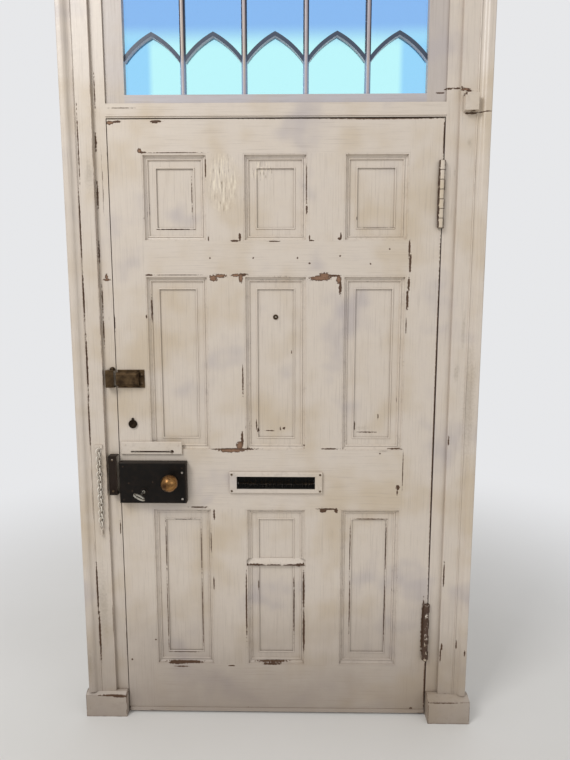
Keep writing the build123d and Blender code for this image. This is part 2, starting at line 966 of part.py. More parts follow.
def hub():
    """The follower on the spindle, with the arm that moves the latch bolt."""
    disc = rod_y(hub_radius, spindle_x, bolt_y, spindle_z)
    arm = block((-arm_thick / 2, arm_thick / 2), bolt_y, (0, arm_reach))
    disc += Pos(spindle_x, 0, spindle_z) * Rot(0, degrees(latch_swing()), 0) * arm
    side = spindle_side / 2
    return disc - block((spindle_x - side, spindle_x + side), spread(bolt_y, past),
                        (spindle_z - side, spindle_z + side))


def spindle():
    side = spindle_side / 2
    reach = (-lock_depth - spindle_grip, leaf_thick + spindle_grip)
    return block((spindle_x - side, spindle_x + side), reach, (spindle_z - side, spindle_z + side))


def dead_bolt():
    """A square head on a bar whose upper edge has the talon that the key's bit turns through."""
    nose = lock_x[0]
    bar_left = nose + lock_wall + dead_throw + 2 * bolt_clearance
    bolt = block((nose, bar_left + bolt_head_length), bolt_y, dead_head_z())
    bolt += block((bar_left, key_x + dead_throw + 2 * bit_reach), bolt_y, dead_bar_z())
    near = key_radius + bolt_clearance
    notch = notch_span(key_x, near, radians(key_rest_angle), dead_throw, bit_thick)
    depth = key_z - bit_reach - 2 * notch_play
    return bolt - block(notch, spread(bolt_y, past), (depth, key_z))


def key():
    """A bow, a collared shank and a bit, turned to the angle at which it was left."""
    front = -lock_depth
    end = bolt_y[1]
    shank = rod_y(key_radius, 0, (front - bow_stand + bow_width / 2 - bow_wire, end), 0)
    shank += rod_y(key_collar_radius, 0, [front - place for place in key_collar], 0)
    bit_y = (bolt_y[0] + bit_inset, bolt_y[0] + bit_inset + bit_width)
    shank += block((-bit_thick / 2, bit_thick / 2), bit_y, (-bit_reach, 0))
    middle = Pos(0, front - bow_stand, 0)
    outer = Ellipse(bow_length / 2, bow_width / 2) - Ellipse(bow_length / 2 - 2 * bow_wire,
                                                             bow_width / 2 - 2 * bow_wire)
    bow = Rot(0, 90, 0) * extrude(outer, amount=bow_wire, both=True)
    shank += middle * bow
    return Pos(key_x, 0, key_z) * Rot(0, -key_rest_angle, 0) * shank


def rim_keep():
    """The iron box on the jamb that the bolts shoot into, open on the side of the lock."""
    x = (keep_right - keep_width, keep_right)
    z = (keep_bottom, keep_bottom + keep_height)
    return box_keep(x, z, lock_depth, keep_wall)


def box_keep(x, z, depth, wall):
    body = block(x, (-depth, 0), z)
    front = body.edges().filter_by(Axis.Z).sort_by(Axis.Y)[:2]
    body = chamfer(front, wall / 2)
    return body - box_room(x, z, depth, wall)


def box_room(x, z, depth, wall):
    """What a box keep leaves open for the bolts, towards the lock and the jamb."""
    return block((x[0] + wall, x[1] + past), (-depth + wall, 0), spread(z, -wall))


# The knobs

def knob_profile():
    """A turned knob's half outline: foot, neck and ball."""
    r = knob_radius
    neck = knob_neck_radius
    ball = knob_neck + sqrt(r ** 2 - neck ** 2)
    lines = Polyline((0, 0), (neck, 0), (neck, knob_neck))
    lines += ThreePointArc((neck, knob_neck), (r, ball), (0, ball + r))
    lines += Polyline((0, ball + r), (0, 0))
    return make_face(lines)


def inner_knob():
    """Turned brass, with its neck running in the case's front and its hole for the spindle."""
    foot = -lock_depth + lock_face
    body = revolve(Plane.XY * knob_profile(), Axis.Y)
    body = Pos(spindle_x, foot, spindle_z) * Rot(180, 0, 0) * body
    return body - spindle()


def knob_rose():
    """The plate under the outdoor knob, let on to the leaf."""
    y = (leaf_thick, leaf_thick + rose_thick)
    ring = rod_y(rose_radius, spindle_x, y, spindle_z)
    bore = rod_y(knob_neck_radius + running_clearance, spindle_x, spread(y, past), spindle_z)
    return ring - bore


def outer_knob():
    body = revolve(Plane.XY * knob_profile(), Axis.Y)
    body = Pos(spindle_x, leaf_thick + bolt_clearance, spindle_z) * body
    return body - spindle()


# The night latch

def night_middle():
    return night_bottom + night_height / 2


def night_cylinder_x():
    return night_x[0] + cylinder_x_inset


def night_latch_case():
    """A flange with a bevelled cover over the works, and a window for the bolt."""
    flange = block(night_x, (-night_flange, 0), night_z)
    cover_x = (night_x[0], night_x[1] - 2 * night_border)
    cover_z = spread(night_z, -night_border)
    cover = block(cover_x, (-night_depth, -night_flange), cover_z)
    front = cover.faces().sort_by(Axis.Y)[0]
    rim = front.edges().sort_by(Axis.X)[1:]
    cover = chamfer(rim, night_bevel)
    body = flange + cover
    return body - block((night_x[0] - past, night_x[0] + night_room), spread(night_bolt_y, bolt_clearance),
                        spread(night_bolt_z, bolt_clearance))


def night_latch_bolt():
    y0, y1 = night_bolt_y
    nose = night_x[0]
    slant = y1 - y0 - bolt_nose
    end = nose + night_room - night_room_play
    outline = face((nose, y1), (nose, y1 - bolt_nose), (nose + slant, y0), (end, y0), (end, y1))
    return along_z(outline, night_bolt_z)


def night_latch_keep():
    """A narrow box keep with a round ear above for its upper screw."""
    x = (keep_right - night_keep_width, keep_right)
    z = (night_keep_bottom, night_keep_bottom + night_keep_height)
    depth = night_depth + night_keep_deeper
    body = block(x, (-depth, 0), z) - box_room(x, z, depth, keep_wall)
    ear = rod_y(night_ear_radius, x[1] - night_ear_radius, (-night_ear_thick, 0), z[1])
    return body + (ear - block(x, (-depth, 0), z))


def night_cylinder():
    """The key cylinder that reaches through the leaf to the latch, with a rim outdoors."""
    x, z = night_cylinder_x(), night_middle()
    body = rod_y(cylinder_radius - running_clearance, x, (0, leaf_thick), z)
    end = leaf_thick + cylinder_rim_thick
    body += rod_y(cylinder_radius + cylinder_rim, x, (leaf_thick, end), z)
    wide, deep, tall = cylinder_slit
    return body - block((x - wide / 2, x + wide / 2), (end - deep, end + past), (z - tall / 2, z + tall / 2))


# The mortice deadlock

def mortice_pocket():
    y = spread(((leaf_thick - mortice_thick) / 2, (leaf_thick + mortice_thick) / 2), bolt_clearance)
    case = block((-half, -half + mortice_depth), y,
                 (mortice_z - mortice_height / 2, mortice_z + mortice_height / 2))
    forend = block((-half, -half + forend_thick), spread(y, forend_wider),
                   (mortice_z - forend_height / 2, mortice_z + forend_height / 2))
    return case + forend


def mortice_bolt_z():
    low = mortice_z + mortice_bolt_rise
    return (low, low + mortice_bolt_height)


def mortice_case():
    """The case in the stile with its forend, open inside for the bolt's travel."""
    y = ((leaf_thick - mortice_thick) / 2, (leaf_thick + mortice_thick) / 2)
    z = (mortice_z - mortice_height / 2, mortice_z + mortice_height / 2)
    body = block((-half, -half + mortice_depth), y, z)
    body += block((-half, -half + forend_thick), spread(y, forend_wider),
                  (mortice_z - forend_height / 2, mortice_z + forend_height / 2))
    bolt_room = block((-half - past, -half + mortice_depth - mortice_wall), spread(y, -mortice_wall),
                      spread(mortice_bolt_z(), bolt_clearance))
    return body - bolt_room - keyhole(mortice_x, mortice_z, y)


def mortice_bolt():
    y = spread(((leaf_thick - mortice_thick) / 2, (leaf_thick + mortice_thick) / 2),
               -mortice_wall - bolt_clearance)
    return block((-half, -half + mortice_depth - mortice_wall - mortice_throw), y, mortice_bolt_z())


def strike_y():
    return spread(((leaf_thick - mortice_thick) / 2, (leaf_thick + mortice_thick) / 2), strike_border)


def strike_recess():
    z = mortice_bolt_z()
    return block((-jamb_face - forend_thick, -jamb_face), strike_y(), spread(z, strike_border_z))


def strike_mortice():
    z = mortice_bolt_z()
    return block((-jamb_face - lining_thick, -jamb_face), spread(strike_y(), -strike_border),
                 spread(z, strike_play_z))


def mortice_strike():
    return strike_recess() - strike_mortice()


def cover_y():
    """Where the swinging cover lies, just clear of its plate."""
    back = -keyplate_thick - bolt_clearance
    return (back - cover_thick, back)


def keyhole_plate():
    """The little plate round the mortice keyhole, with the pin on which the cover swings."""
    y = (-keyplate_thick, 0)
    lug_z = mortice_z + cover_pivot_rise
    plate = rod_y(keyplate_radius, mortice_x, y, mortice_z) - keyhole(mortice_x, mortice_z, spread(y, past))
    plate += block((mortice_x - keyplate_neck / 2, mortice_x + keyplate_neck / 2), y,
                   (mortice_z + keyplate_drop, lug_z))
    plate += rod_y(cover_lug_radius, mortice_x, y, lug_z)
    cap = cover_y()[0] - bolt_clearance
    plate += rod_y(cover_pin_radius, mortice_x, (cap, 0), lug_z)
    return plate + rod_y(cover_cap_radius, mortice_x, (cap - cover_cap_thick, cap), lug_z)


def keyhole_cover():
    """The drop that hangs over the keyhole."""
    lug_z = mortice_z + cover_pivot_rise
    body = rod_y(cover_radius, mortice_x, cover_y(), mortice_z)
    body += rod_y(cover_lug_radius, mortice_x, cover_y(), lug_z)
    return body - rod_y(cover_pin_radius + running_clearance, mortice_x, spread(cover_y(), past), lug_z)


def outer_keyplate(x, z):
    y = (leaf_thick, leaf_thick + keyplate_thick)
    plate = rod_y(escutcheon_radius, x, y, z) + rod_y(keyplate_foot_radius, x, y, z - keyplate_drop)
    return plate - keyhole(x, z, spread(y, past))


def outdoor_plates():
    """The two keyhole plates and the knob's rose, all on the outdoor face."""
    return solids([outer_keyplate(key_x, key_z), outer_keyplate(mortice_x, mortice_z), knob_rose()])


# The door chain

def chain_slide():
    """A raised iron plate with a long slot and a round entry for the chain's button."""
    x = (slide_left, slide_left + slide_width)
    z = (slide_bottom, slide_bottom + slide_height)
    body = block(x, (-slide_proud, 0), z)
    front = body.faces().sort_by(Axis.Y)[0]
    body = chamfer(front.edges(), slide_chamfer)
    y = (-slide_proud - past, -slide_proud + slide_face + past)
    end = slot_left + slot_length
    slot = block((slot_left, end), y, (slot_z - slot_height / 2, slot_z + slot_height / 2))
    slot += rod_y(slot_entry_radius, end, y, slot_z)
    channel = block((slot_left - slide_channel_end, end + slot_entry_radius), (-slide_proud + slide_face, 0),
                    (slot_z - slot_entry_radius, slot_z + slot_entry_radius))
    return body - slot - channel


def link_half():
    """Half a link's length along the middle of its wire, for links that hang at their pitch."""
    return link_pitch / 2 + link_wire + link_touch / 2


def chain_link(z, turned):
    """One stadium-shaped link of round wire."""
    r = link_width / 2 - link_wire
    h = link_half() - r
    path = Polyline((r, -h), (r, h)) + ThreePointArc((r, h), (0, h + r), (-r, h))
    path += Polyline((-r, h), (-r, -h)) + ThreePointArc((-r, -h), (0, -h - r), (r, -h))
    wire = Wire((Plane.XZ * path).edges())
    section = Plane(origin=wire @ 0, z_dir=wire % 0) * Circle(link_wire)
    link = sweep(section, path=wire)
    return Pos(staple_x, chain_y(), z) * Rot(0, 0, 90 if turned else 0) * link


def chain_y():
    return -fascia_proud - link_width / 2 - bolt_clearance


def link_z(index):
    """The middle of a link, counted down from the one that hangs on the staple."""
    first = staple_z - link_half() + 2 * link_wire + link_touch
    return first - index * link_pitch


def chain_links():
    return solids(chain_link(link_z(index), index % 2) for index in range(link_count))


def chain_staple():
    """The plate on the architrave and the stud that the first link hangs on."""
    x = (staple_x - staple_width / 2, staple_x + staple_width / 2)
    low = staple_z + link_wire + staple_rise
    plate = block(x, (-fascia_proud - staple_thick, -fascia_proud), (low, low + staple_height))
    wide, thick, drop = staple_tail
    plate += block((staple_x - wide / 2, staple_x + wide / 2), (-fascia_proud - thick, -fascia_proud),
                   (staple_z - drop, low))
    return plate + rod_y(link_wire, staple_x, (chain_y() - staple_stud, -fascia_proud), staple_z)


def chain_button():
    """The stud that runs in the slide, on an eye that hangs from the last link."""
    eye = chain_link(link_z(link_count), link_count % 2)
    top = link_z(link_count) - link_half()
    foot = top - button_length
    stem = rod_z(2 * link_wire, staple_x, chain_y(), (foot, top))
    return eye + stem + rod_z(button_radius, staple_x, chain_y(), (foot - button_thick, foot))


# The letter plate

def letter_frame():
    """The room-side surround, bevelled inside and out."""
    body = block((-letter_half, letter_half), (-letter_proud, 0), letter_z)
    front = body.faces().sort_by(Axis.Y)[0]
    body = chamfer(front.edges(), letter_chamfer)
    slot = block((-slot_width / 2, slot_width / 2), (-letter_proud - past, past),
                 (slot_bottom, slot_bottom + slot_tall))
    return body - slot


def letter_brushes():
    """Two brush strips that meet across the slot, held in the surround."""
    middle = slot_bottom + slot_tall / 2
    x = (-slot_width / 2, slot_width / 2)
    y = (-letter_proud + brush_inset, -letter_proud + brush_inset + brush_thick)
    return solids([block(x, y, (slot_bottom, middle - brush_gap / 2)),
                   block(x, y, (middle + brush_gap / 2, slot_bottom + slot_tall))])


def outer_letter_plate():
    y = (leaf_thick, leaf_thick + outer_letter_proud)
    body = block((-letter_half, letter_half), y, letter_z)
    slot = block((-slot_width / 2, slot_width / 2), spread(y, past), (slot_bottom, slot_bottom + slot_tall))
    reach = slot_width / 2 + flap_pin_end + flap_play / 2
    return body - slot - rod_x(flap_pin_radius + running_clearance, (-reach, reach), flap_pin_y, flap_pin_z)


def letter_flap():
    """The sprung flap, hung on a pin along its top edge."""
    x = slot_width / 2 - flap_play
    y = (flap_pin_y - flap_thick / 2, flap_pin_y + flap_thick / 2)
    body = block((-x, x), y, (slot_bottom + flap_play, flap_pin_z))
    reach = slot_width / 2 + flap_pin_end
    return body + rod_x(flap_pin_radius, (-reach, reach), flap_pin_y, flap_pin_z)


# Small fittings

def door_viewer():
    room, outdoors = panel_sink + field_sink, leaf_thick - panel_sink - field_sink
    tube = rod_y(viewer_bore - running_clearance, 0, (room, outdoors), viewer_z)
    tube += rod_y(viewer_flange, 0, (room - viewer_flange_thick, room), viewer_z)
    tube += rod_y(viewer_flange, 0, (outdoors, outdoors + viewer_flange_thick), viewer_z)
    eye_y = (room - viewer_flange_thick - past, room + viewer_eye_depth)
    return tube - rod_y(viewer_bore - viewer_wall, 0, eye_y, viewer_z)


def draught_strip():
    return block((-half + strip_end, half - strip_end), (-strip_proud, 0), (leaf_bottom, leaf_bottom + strip_height))


def leaf_screws():
    letter_x = spread((-letter_half, letter_half), -letter_screw_inset)
    slide_x = spread((slide_left, slide_left + slide_width), -slide_screw_inset)
    slide_screw_z = slide_bottom + slide_height - slide_screw_drop
    places = [(x, -letter_proud, z) for x in letter_x for z in spread(letter_z, -letter_screw_inset)]
    places += [(lock_x[1] - lock_screw_inset, -lock_depth, lock_bottom + rise) for rise in lock_screw_rises]
    places += [(night_x[1] - night_border, -night_flange, z) for z in spread(night_z, -night_screw_inset)]
    places += [(x, -slide_proud, slide_screw_z) for x in slide_x]
    return solids(screw_head(x, y, z, x + z) for x, y, z in places)


def frame_screws():
    keep_x = keep_right - keep_width / 2
    keep_z = spread((keep_bottom, keep_bottom + keep_height), -keep_screw_inset)
    ear_z = night_keep_bottom + night_keep_height + screw_head_radius
    plate_z = staple_z + link_wire + staple_rise + staple_height / 2
    places = [(keep_x, -lock_depth, z) for z in keep_z]
    places.append((keep_right - night_ear_radius, -night_ear_thick, ear_z))
    places += [(x, -fascia_proud - staple_thick, plate_z)
               for x in spread((staple_x, staple_x), staple_screw_offset)]
    return solids(screw_head(x, y, z, x + z) for x, y, z in places)


def build():
    """Every node by name."""
    sash_sides, sash_rails = sash_members()
    lower_hinge = hinge_parts(hinge_bottoms[0])
    upper_hinge = hinge_parts(hinge_bottoms[1])
    parts = {
        "left_jamb": jamb("left"),
        "right_jamb": jamb("right"),
        "transom": transom(),
        "frame_head": frame_head(),
        "left_architrave": architrave("left"),
        "right_architrave": architrave("right"),
        "head_architrave": head_architrave(),
        "left_plinth_block": plinth_block("left"),
        "right_plinth_block": plinth_block("right"),
        "patch_block": patch_block(),
        "sash_stiles": sash_sides,
        "sash_rails": sash_rails,
        "glazing_bars": glazing_bars(),
        "arch_bars": arch_bars(),
        "lower_panes": panes(True),
        "upper_panes": panes(False),
        "rim_lock_keep": rim_keep(),
        "night_latch_keep": night_latch_keep(),
        "mortice_strike": mortice_strike(),
        "chain_staple": chain_staple(),
        "door_chain": chain_links(),
        "chain_button": chain_button(),
        "frame_hinge_plates": solids([lower_hinge[1], upper_hinge[1]]),
        "hinge_pins": solids([lower_hinge[2], upper_hinge[2]]),
        "frame_screws": frame_screws(),
        "lock_stile": lock_stile(),
        "hanging_stile": hanging_stile(),
        "bottom_rail": rail("bottom_rail"),
        "lock_rail": lock_rail(),
        "frieze_rail": rail("frieze_rail"),
        "top_rail": rail("top_rail"),
        "muntins": muntins(),
        "panels": panels(),
        "centre_panel_upper_board": centre_board(True),
        "centre_panel_lower_board": centre_board(False),
        "room_mouldings": mouldings(False),
        "outdoor_mouldings": mouldings(True),
        "leaf_hinge_plates": solids([lower_hinge[0], upper_hinge[0]]),
        "draught_strip": draught_strip(),
        "rim_lock_case": lock_case(),
        "night_latch_case": night_latch_case(),
        "night_latch_cylinder": night_cylinder(),
        "mortice_lock_case": mortice_case(),
        "keyhole_plate": keyhole_plate(),
        "outdoor_plates": outdoor_plates(),
        "chain_slide": chain_slide(),
        "letter_frame": letter_frame(),
        "outer_letter_plate": outer_letter_plate(),
        "letter_brushes": letter_brushes(),
        "door_viewer": door_viewer(),
        "leaf_screws": leaf_screws(),
        "knob_spindle": solids([spindle(), hub()]),
        "door_knobs": solids([inner_knob(), outer_knob()]),
        "rim_latch_bolt": latch_bolt(),
        "rim_dead_bolt": dead_bolt(),
        "key": key(),
        "night_latch_bolt": night_latch_bolt(),
        "mortice_bolt": mortice_bolt(),
        "keyhole_cover": keyhole_cover(),
        "letter_flap": letter_flap(),
    }
    return parts


os.makedirs("parts", exist_ok=True)
for name, shape in build().items():
    export_step(shape, f"parts/{name}.step")
    print(name, len(shape.solids()))
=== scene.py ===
# %% [markdown]
# A painted front door with its frame and fanlight. Its solids could be modelled again here, but
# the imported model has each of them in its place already, so this lesson keeps them. It gives
# every piece its finish, makes the small things that repeat, and sets up a plain studio. All
# lengths are metres.

# %% Load the door
import math
import bpy
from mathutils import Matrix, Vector


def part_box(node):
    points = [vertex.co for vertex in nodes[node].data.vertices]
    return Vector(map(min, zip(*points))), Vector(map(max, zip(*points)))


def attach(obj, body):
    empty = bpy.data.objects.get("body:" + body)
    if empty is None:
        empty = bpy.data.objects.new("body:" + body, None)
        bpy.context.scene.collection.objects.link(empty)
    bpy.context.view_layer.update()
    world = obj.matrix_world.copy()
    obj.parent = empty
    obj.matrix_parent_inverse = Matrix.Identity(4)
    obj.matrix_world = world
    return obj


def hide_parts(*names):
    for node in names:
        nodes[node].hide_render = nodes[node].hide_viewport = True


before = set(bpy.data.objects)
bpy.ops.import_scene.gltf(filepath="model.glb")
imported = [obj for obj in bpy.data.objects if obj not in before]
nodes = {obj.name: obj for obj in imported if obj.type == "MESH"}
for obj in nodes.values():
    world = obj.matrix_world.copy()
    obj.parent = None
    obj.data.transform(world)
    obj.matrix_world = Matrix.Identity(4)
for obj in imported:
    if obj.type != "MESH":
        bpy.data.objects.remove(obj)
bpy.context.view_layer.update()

# %% [markdown]
# Every finish below is a small tree of nodes. A tree could be wired node by node, but then the
# wiring hides the idea. With a few helpers each line is one step of the finish: a node with its
# sockets filled, a sum, a mask, or one colour laid over another.

# %% Helpers: nodes and sums
def fill(tree, node, inputs):
    """Fills sockets by name or number. A socket is linked, anything else is set as a value."""
    for key, value in inputs.items():
        if isinstance(value, bpy.types.NodeSocket):
            tree.links.new(value, node.inputs[key])
        else:
            node.inputs[key].default_value = value


def put(tree, kind, inputs=None, **settings):
    """Adds a node, applies its settings and fills its sockets."""
    node = tree.nodes.new(kind)
    for key, value in settings.items():
        setattr(node, key, value)
    fill(tree, node, inputs or {})
    return node


def find(tree, kind):
    """The first node of a kind."""
    return next(node for node in tree.nodes if node.bl_idname == kind)


def calc(tree, operation, *values, clamp=False):
    """One sum on one or two numbers. A clamp keeps the result between 0 and 1."""
    settings = {"operation": operation, "use_clamp": clamp}
    return put(tree, "ShaderNodeMath", dict(enumerate(values)), **settings).outputs[0]


def times(tree, a, b):
    return calc(tree, "MULTIPLY", a, b)


def plus(tree, a, b, clamp=False):
    return calc(tree, "ADD", a, b, clamp=clamp)


def minus(tree, a, b, clamp=False):
    return calc(tree, "SUBTRACT", a, b, clamp=clamp)


def total(tree, first, *others):
    """Adds up pairs of a value and its weight."""
    result = times(tree, *first)
    for value, weight in others:
        result = plus(tree, result, times(tree, value, weight))
    return result


# %% Helpers: places, masks and colours
def vector(tree, operation, *values):
    """One sum on vectors. A length comes out as a number."""
    node = put(tree, "ShaderNodeVectorMath", dict(enumerate(values)), operation=operation)
    return node.outputs["Value" if operation == "LENGTH" else "Vector"]


def axis(tree, place, name):
    """One of a vector's three numbers."""
    return put(tree, "ShaderNodeSeparateXYZ", {"Vector": place}).outputs[name]


def facing(tree, name):
    """How far a face looks along an axis of its own piece, from -1 to 1."""
    return axis(tree, put(tree, "ShaderNodeTexCoord").outputs["Normal"], name)


def noise(tree, place, scale, detail=3.0, rough=0.55):
    """Cloudy noise about as many times to the metre as the scale says."""
    inputs = {"Vector": place, "Scale": scale, "Detail": detail, "Roughness": rough}
    return put(tree, "ShaderNodeTexNoise", inputs).outputs["Fac"]


def ramp(tree, value, low, high):
    """Smoothly from 0 at low to 1 at high, or the other way round where high is below low."""
    inputs = {"Value": value, "From Min": low, "From Max": high}
    return put(tree, "ShaderNodeMapRange", inputs, interpolation_type="SMOOTHSTEP").outputs[0]


def mix(tree, factor, a, b):
    """Colour a where the factor is 0, colour b where it is 1."""
    inputs = {"Factor": factor, "A": a, "B": b}
    return put(tree, "ShaderNodeMix", inputs, data_type="RGBA").outputs["Result"]


def layer(tree, colour, *coverings):
    """Lays colours over one another. Each covering is a mask, its strength and its colour."""
    for mask, strength, shade in coverings:
        colour = mix(tree, times(tree, mask, strength), colour, shade)
    return colour


def rgb(red, green, blue):
    """A colour as it looks on a screen, turned into the light values that Blender mixes."""
    shares = [value / 255 for value in (red, green, blue)]
    dark = 10 / 255
    return (*[s / 12.92 if s <= dark else ((s + 0.055) / 1.055) ** 2.4 for s in shares], 1.0)


print("mid grey as light", round(rgb(128, 128, 128)[0], 3))

# %% [markdown]
# Brush marks, wear, dirt and painted shade are on many pieces, each with its own sizes. Their
# nodes could be copied into every material, but one mend would then have to be made fifty times.
# A node group is built once and placed in each material with its own values. It puts out only
# masks and heights, and the shader stays in the material, where the export can read it.

# %% Helpers: groups and materials
SOCKETS = {int: "NodeSocketInt", float: "NodeSocketFloat", tuple: "NodeSocketVector"}


def add_inputs(tree, sizes):
    """Gives a tree a named input for each size, with its usual value."""
    for label, value in sizes.items():
        kind = SOCKETS[type(value)]
        tree.interface.new_socket(label, in_out="INPUT", socket_type=kind).default_value = value


def start_group(name, sizes):
    """Starts an effect that looks at a place on the surface."""
    group = bpy.data.node_groups.new(name, "ShaderNodeTree")
    add_inputs(group, {"Place": (0.0, 0.0, 0.0), **sizes})
    return group, group.nodes.new("NodeGroupInput").outputs


def end_group(group, results):
    """Puts out each result under its name."""
    for label in results:
        group.interface.new_socket(label, in_out="OUTPUT", socket_type="NodeSocketFloat")
    put(group, "NodeGroupOutput", results)
    print("group", group.name, "puts out", list(results))


def use_group(tree, group, **inputs):
    """Places a group. Its input names are given with underscores for spaces."""
    filled = {key.replace("_", " "): value for key, value in inputs.items()}
    return put(tree, "ShaderNodeGroup", filled, node_tree=group).outputs


def here(tree):
    """The place of a point on its own piece, which moves and turns with it."""
    return put(tree, "ShaderNodeTexCoord").outputs["Object"]


def start_material(name):
    material = bpy.data.materials.new(name)
    material.use_nodes = True
    tree = material.node_tree
    tree.nodes.clear()
    shader = put(tree, "ShaderNodeBsdfPrincipled")
    put(tree, "ShaderNodeOutputMaterial", {"Surface": shader.outputs[0]})
    return material, tree, shader, here(tree)


def reopen(material):
    """The tree, shader and colour of a finished material, so that more can be laid over it."""
    tree = material.node_tree
    shader = find(tree, "ShaderNodeBsdfPrincipled")
    return tree, shader, shader.inputs["Base Color"].links[0].from_socket


def relief(tree, height, strength, depth):
    """Fine relief for a shader's Normal, from a height between 0 and 1."""
    inputs = {"Height": height, "Strength": strength, "Distance": depth}
    return put(tree, "ShaderNodeBump", inputs).outputs[0]


def finish(material, *pieces):
    """Gives solids their finish, in every slot."""
    for piece in pieces:
        for slot in nodes[piece].material_slots:
            slot.material = material
    print(material.name, "has", len(material.node_tree.nodes), "nodes, on", *pieces)


# %% [markdown]
# Old gloss paint is many coats thick. It keeps the brush marks, has broad patches that have
# yellowed, and small lumps. A picture of old paint would do for one view, but it would repeat
# and blur close up. Noise has neither fault. The brush follows the wood, so the marks are noise
# that is squeezed across the stroke and stretched along it.

# %% Group: brushed coats of paint
MIDDLE = 0.46       # about half of the noise is below this
coats, given = start_group("Brushed coats", {"Stroke": (240.0, 240.0, 7.0), "Patch Size": 3.2})
strokes = noise(coats, vector(coats, "MULTIPLY", given["Place"], given["Stroke"]), 1.0, 4.0, 0.6)
patches = noise(coats, given["Place"], given["Patch Size"], 3.0, 0.6)
lumps = noise(coats, given["Place"], 95.0, 2.0, 0.5)
# the cool patches are the same noise where it is low, so they lie between the yellowed ones
end_group(coats, {
    "Strokes": strokes, "Lumps": lumps, "Height": total(coats, (strokes, 0.55), (lumps, 0.8)),
    "Patches": ramp(coats, patches, MIDDLE, 0.68), "Cool": ramp(coats, patches, MIDDLE, 0.3)})

# %% [markdown]
# Knocks take the paint off the arrises, which are a joiner's name for sharp edges, and dirt
# settles in the corners. Both could be marked by hand on the mesh, point by point. Ambient
# Occlusion finds them by itself: looked for inside the piece it finds the arrises, looked for
# outside it finds the corners, which it darkens as dirt and painted shade together. Noise breaks
# both up, since no edge wears evenly.

# %% Group: worn arrises
arris, given = start_group("Worn arris", {
    "Reach": 0.004, "Amount": 0.5, "Grain": 60.0, "Along": (1.0, 1.0, 1.0)})
inside = put(arris, "ShaderNodeAmbientOcclusion", {"Distance": given["Reach"]},
             samples=6, inside=True, only_local=True).outputs["AO"]
# inside a flat face it is nearly 1, and inside a sharp arris under a half
edge = ramp(arris, inside, 0.86, 0.42)
# paint lifts along the grain, so the noise is drawn out in that direction
drawn = vector(arris, "MULTIPLY", given["Place"], given["Along"])
broken = noise(arris, drawn, given["Grain"], 4.0, 0.65)
# where this wide noise is high the arris is bare, elsewhere it keeps its paint
wide = noise(arris, drawn, 9.0, 2.0, 0.5)
bare = total(arris, (broken, 0.6), (wide, 0.5))
limit = minus(arris, 1.0, times(arris, given["Amount"], 0.75))
gone = ramp(arris, bare, limit, plus(arris, limit, 0.03))
end_group(arris, {"Mask": times(arris, gone, ramp(arris, edge, 0.25, 0.5)), "Soft": edge})

# %% Group: grime and painted shade in the corners and towards the floor
grime_and_shade, given = start_group("Grime and shade", {"Reach": 0.014, "Floor Height": 0.75})
# occlusion from outside finds corners and gaps, which are darkened as dirt and as painted shade
outside = put(grime_and_shade, "ShaderNodeAmbientOcclusion", {"Distance": given["Reach"]}, samples=6).outputs["AO"]
cloud = noise(grime_and_shade, given["Place"], 28.0, 4.0, 0.6)
settled_and_shaded = calc(grime_and_shade, "MULTIPLY", ramp(grime_and_shade, outside, 0.85, 0.25), plus(grime_and_shade, cloud, 0.35), clamp=True)
# darker towards the floor: dirt there, and painted shade where less light reaches
drift = plus(grime_and_shade, axis(grime_and_shade, given["Place"], "Z"), times(grime_and_shade, noise(grime_and_shade, given["Place"], 5.0), 0.3))
end_group(grime_and_shade, {"Corner Dirt And Shade": settled_and_shaded, "Floor": ramp(grime_and_shade, drift, given["Floor Height"], 0.08)})

# %% [markdown]
# Some damage is in a known place: a flake at a joint, a nail hole, a crack beside a field. It
# could be cut into the mesh, but it is thinner than a coat of paint, so a mask is enough. This
# group draws one ragged oval round a centre, and each finish places as many as its piece has. A
# few ovals are painted shadow lines, in gaps and beside the hinges. A wide, soft edge turns the
# same oval into a stain, and once into the chain's painted shadow.

# %% Group: one flake of lost paint, a stain or a painted shadow line
RIM = 1.02          # an oval's edge is 1 half size from its middle
flake, given = start_group("Flake", {
    "Ragged": 0.0, "Centre": (0.0, 0.0, 0.0), "Half Size": (0.01, 1.0, 0.01), "So Far": 0.0, "Edge": 0.14})
offset = vector(flake, "SUBTRACT", given["Place"], given["Centre"])
away = vector(flake, "LENGTH", vector(flake, "DIVIDE", offset, given["Half Size"]))
mark = ramp(flake, plus(flake, away, given["Ragged"]), RIM, minus(flake, RIM, given["Edge"]))
end_group(flake, {"Mask": calc(flake, "MAXIMUM", mark, given["So Far"])})
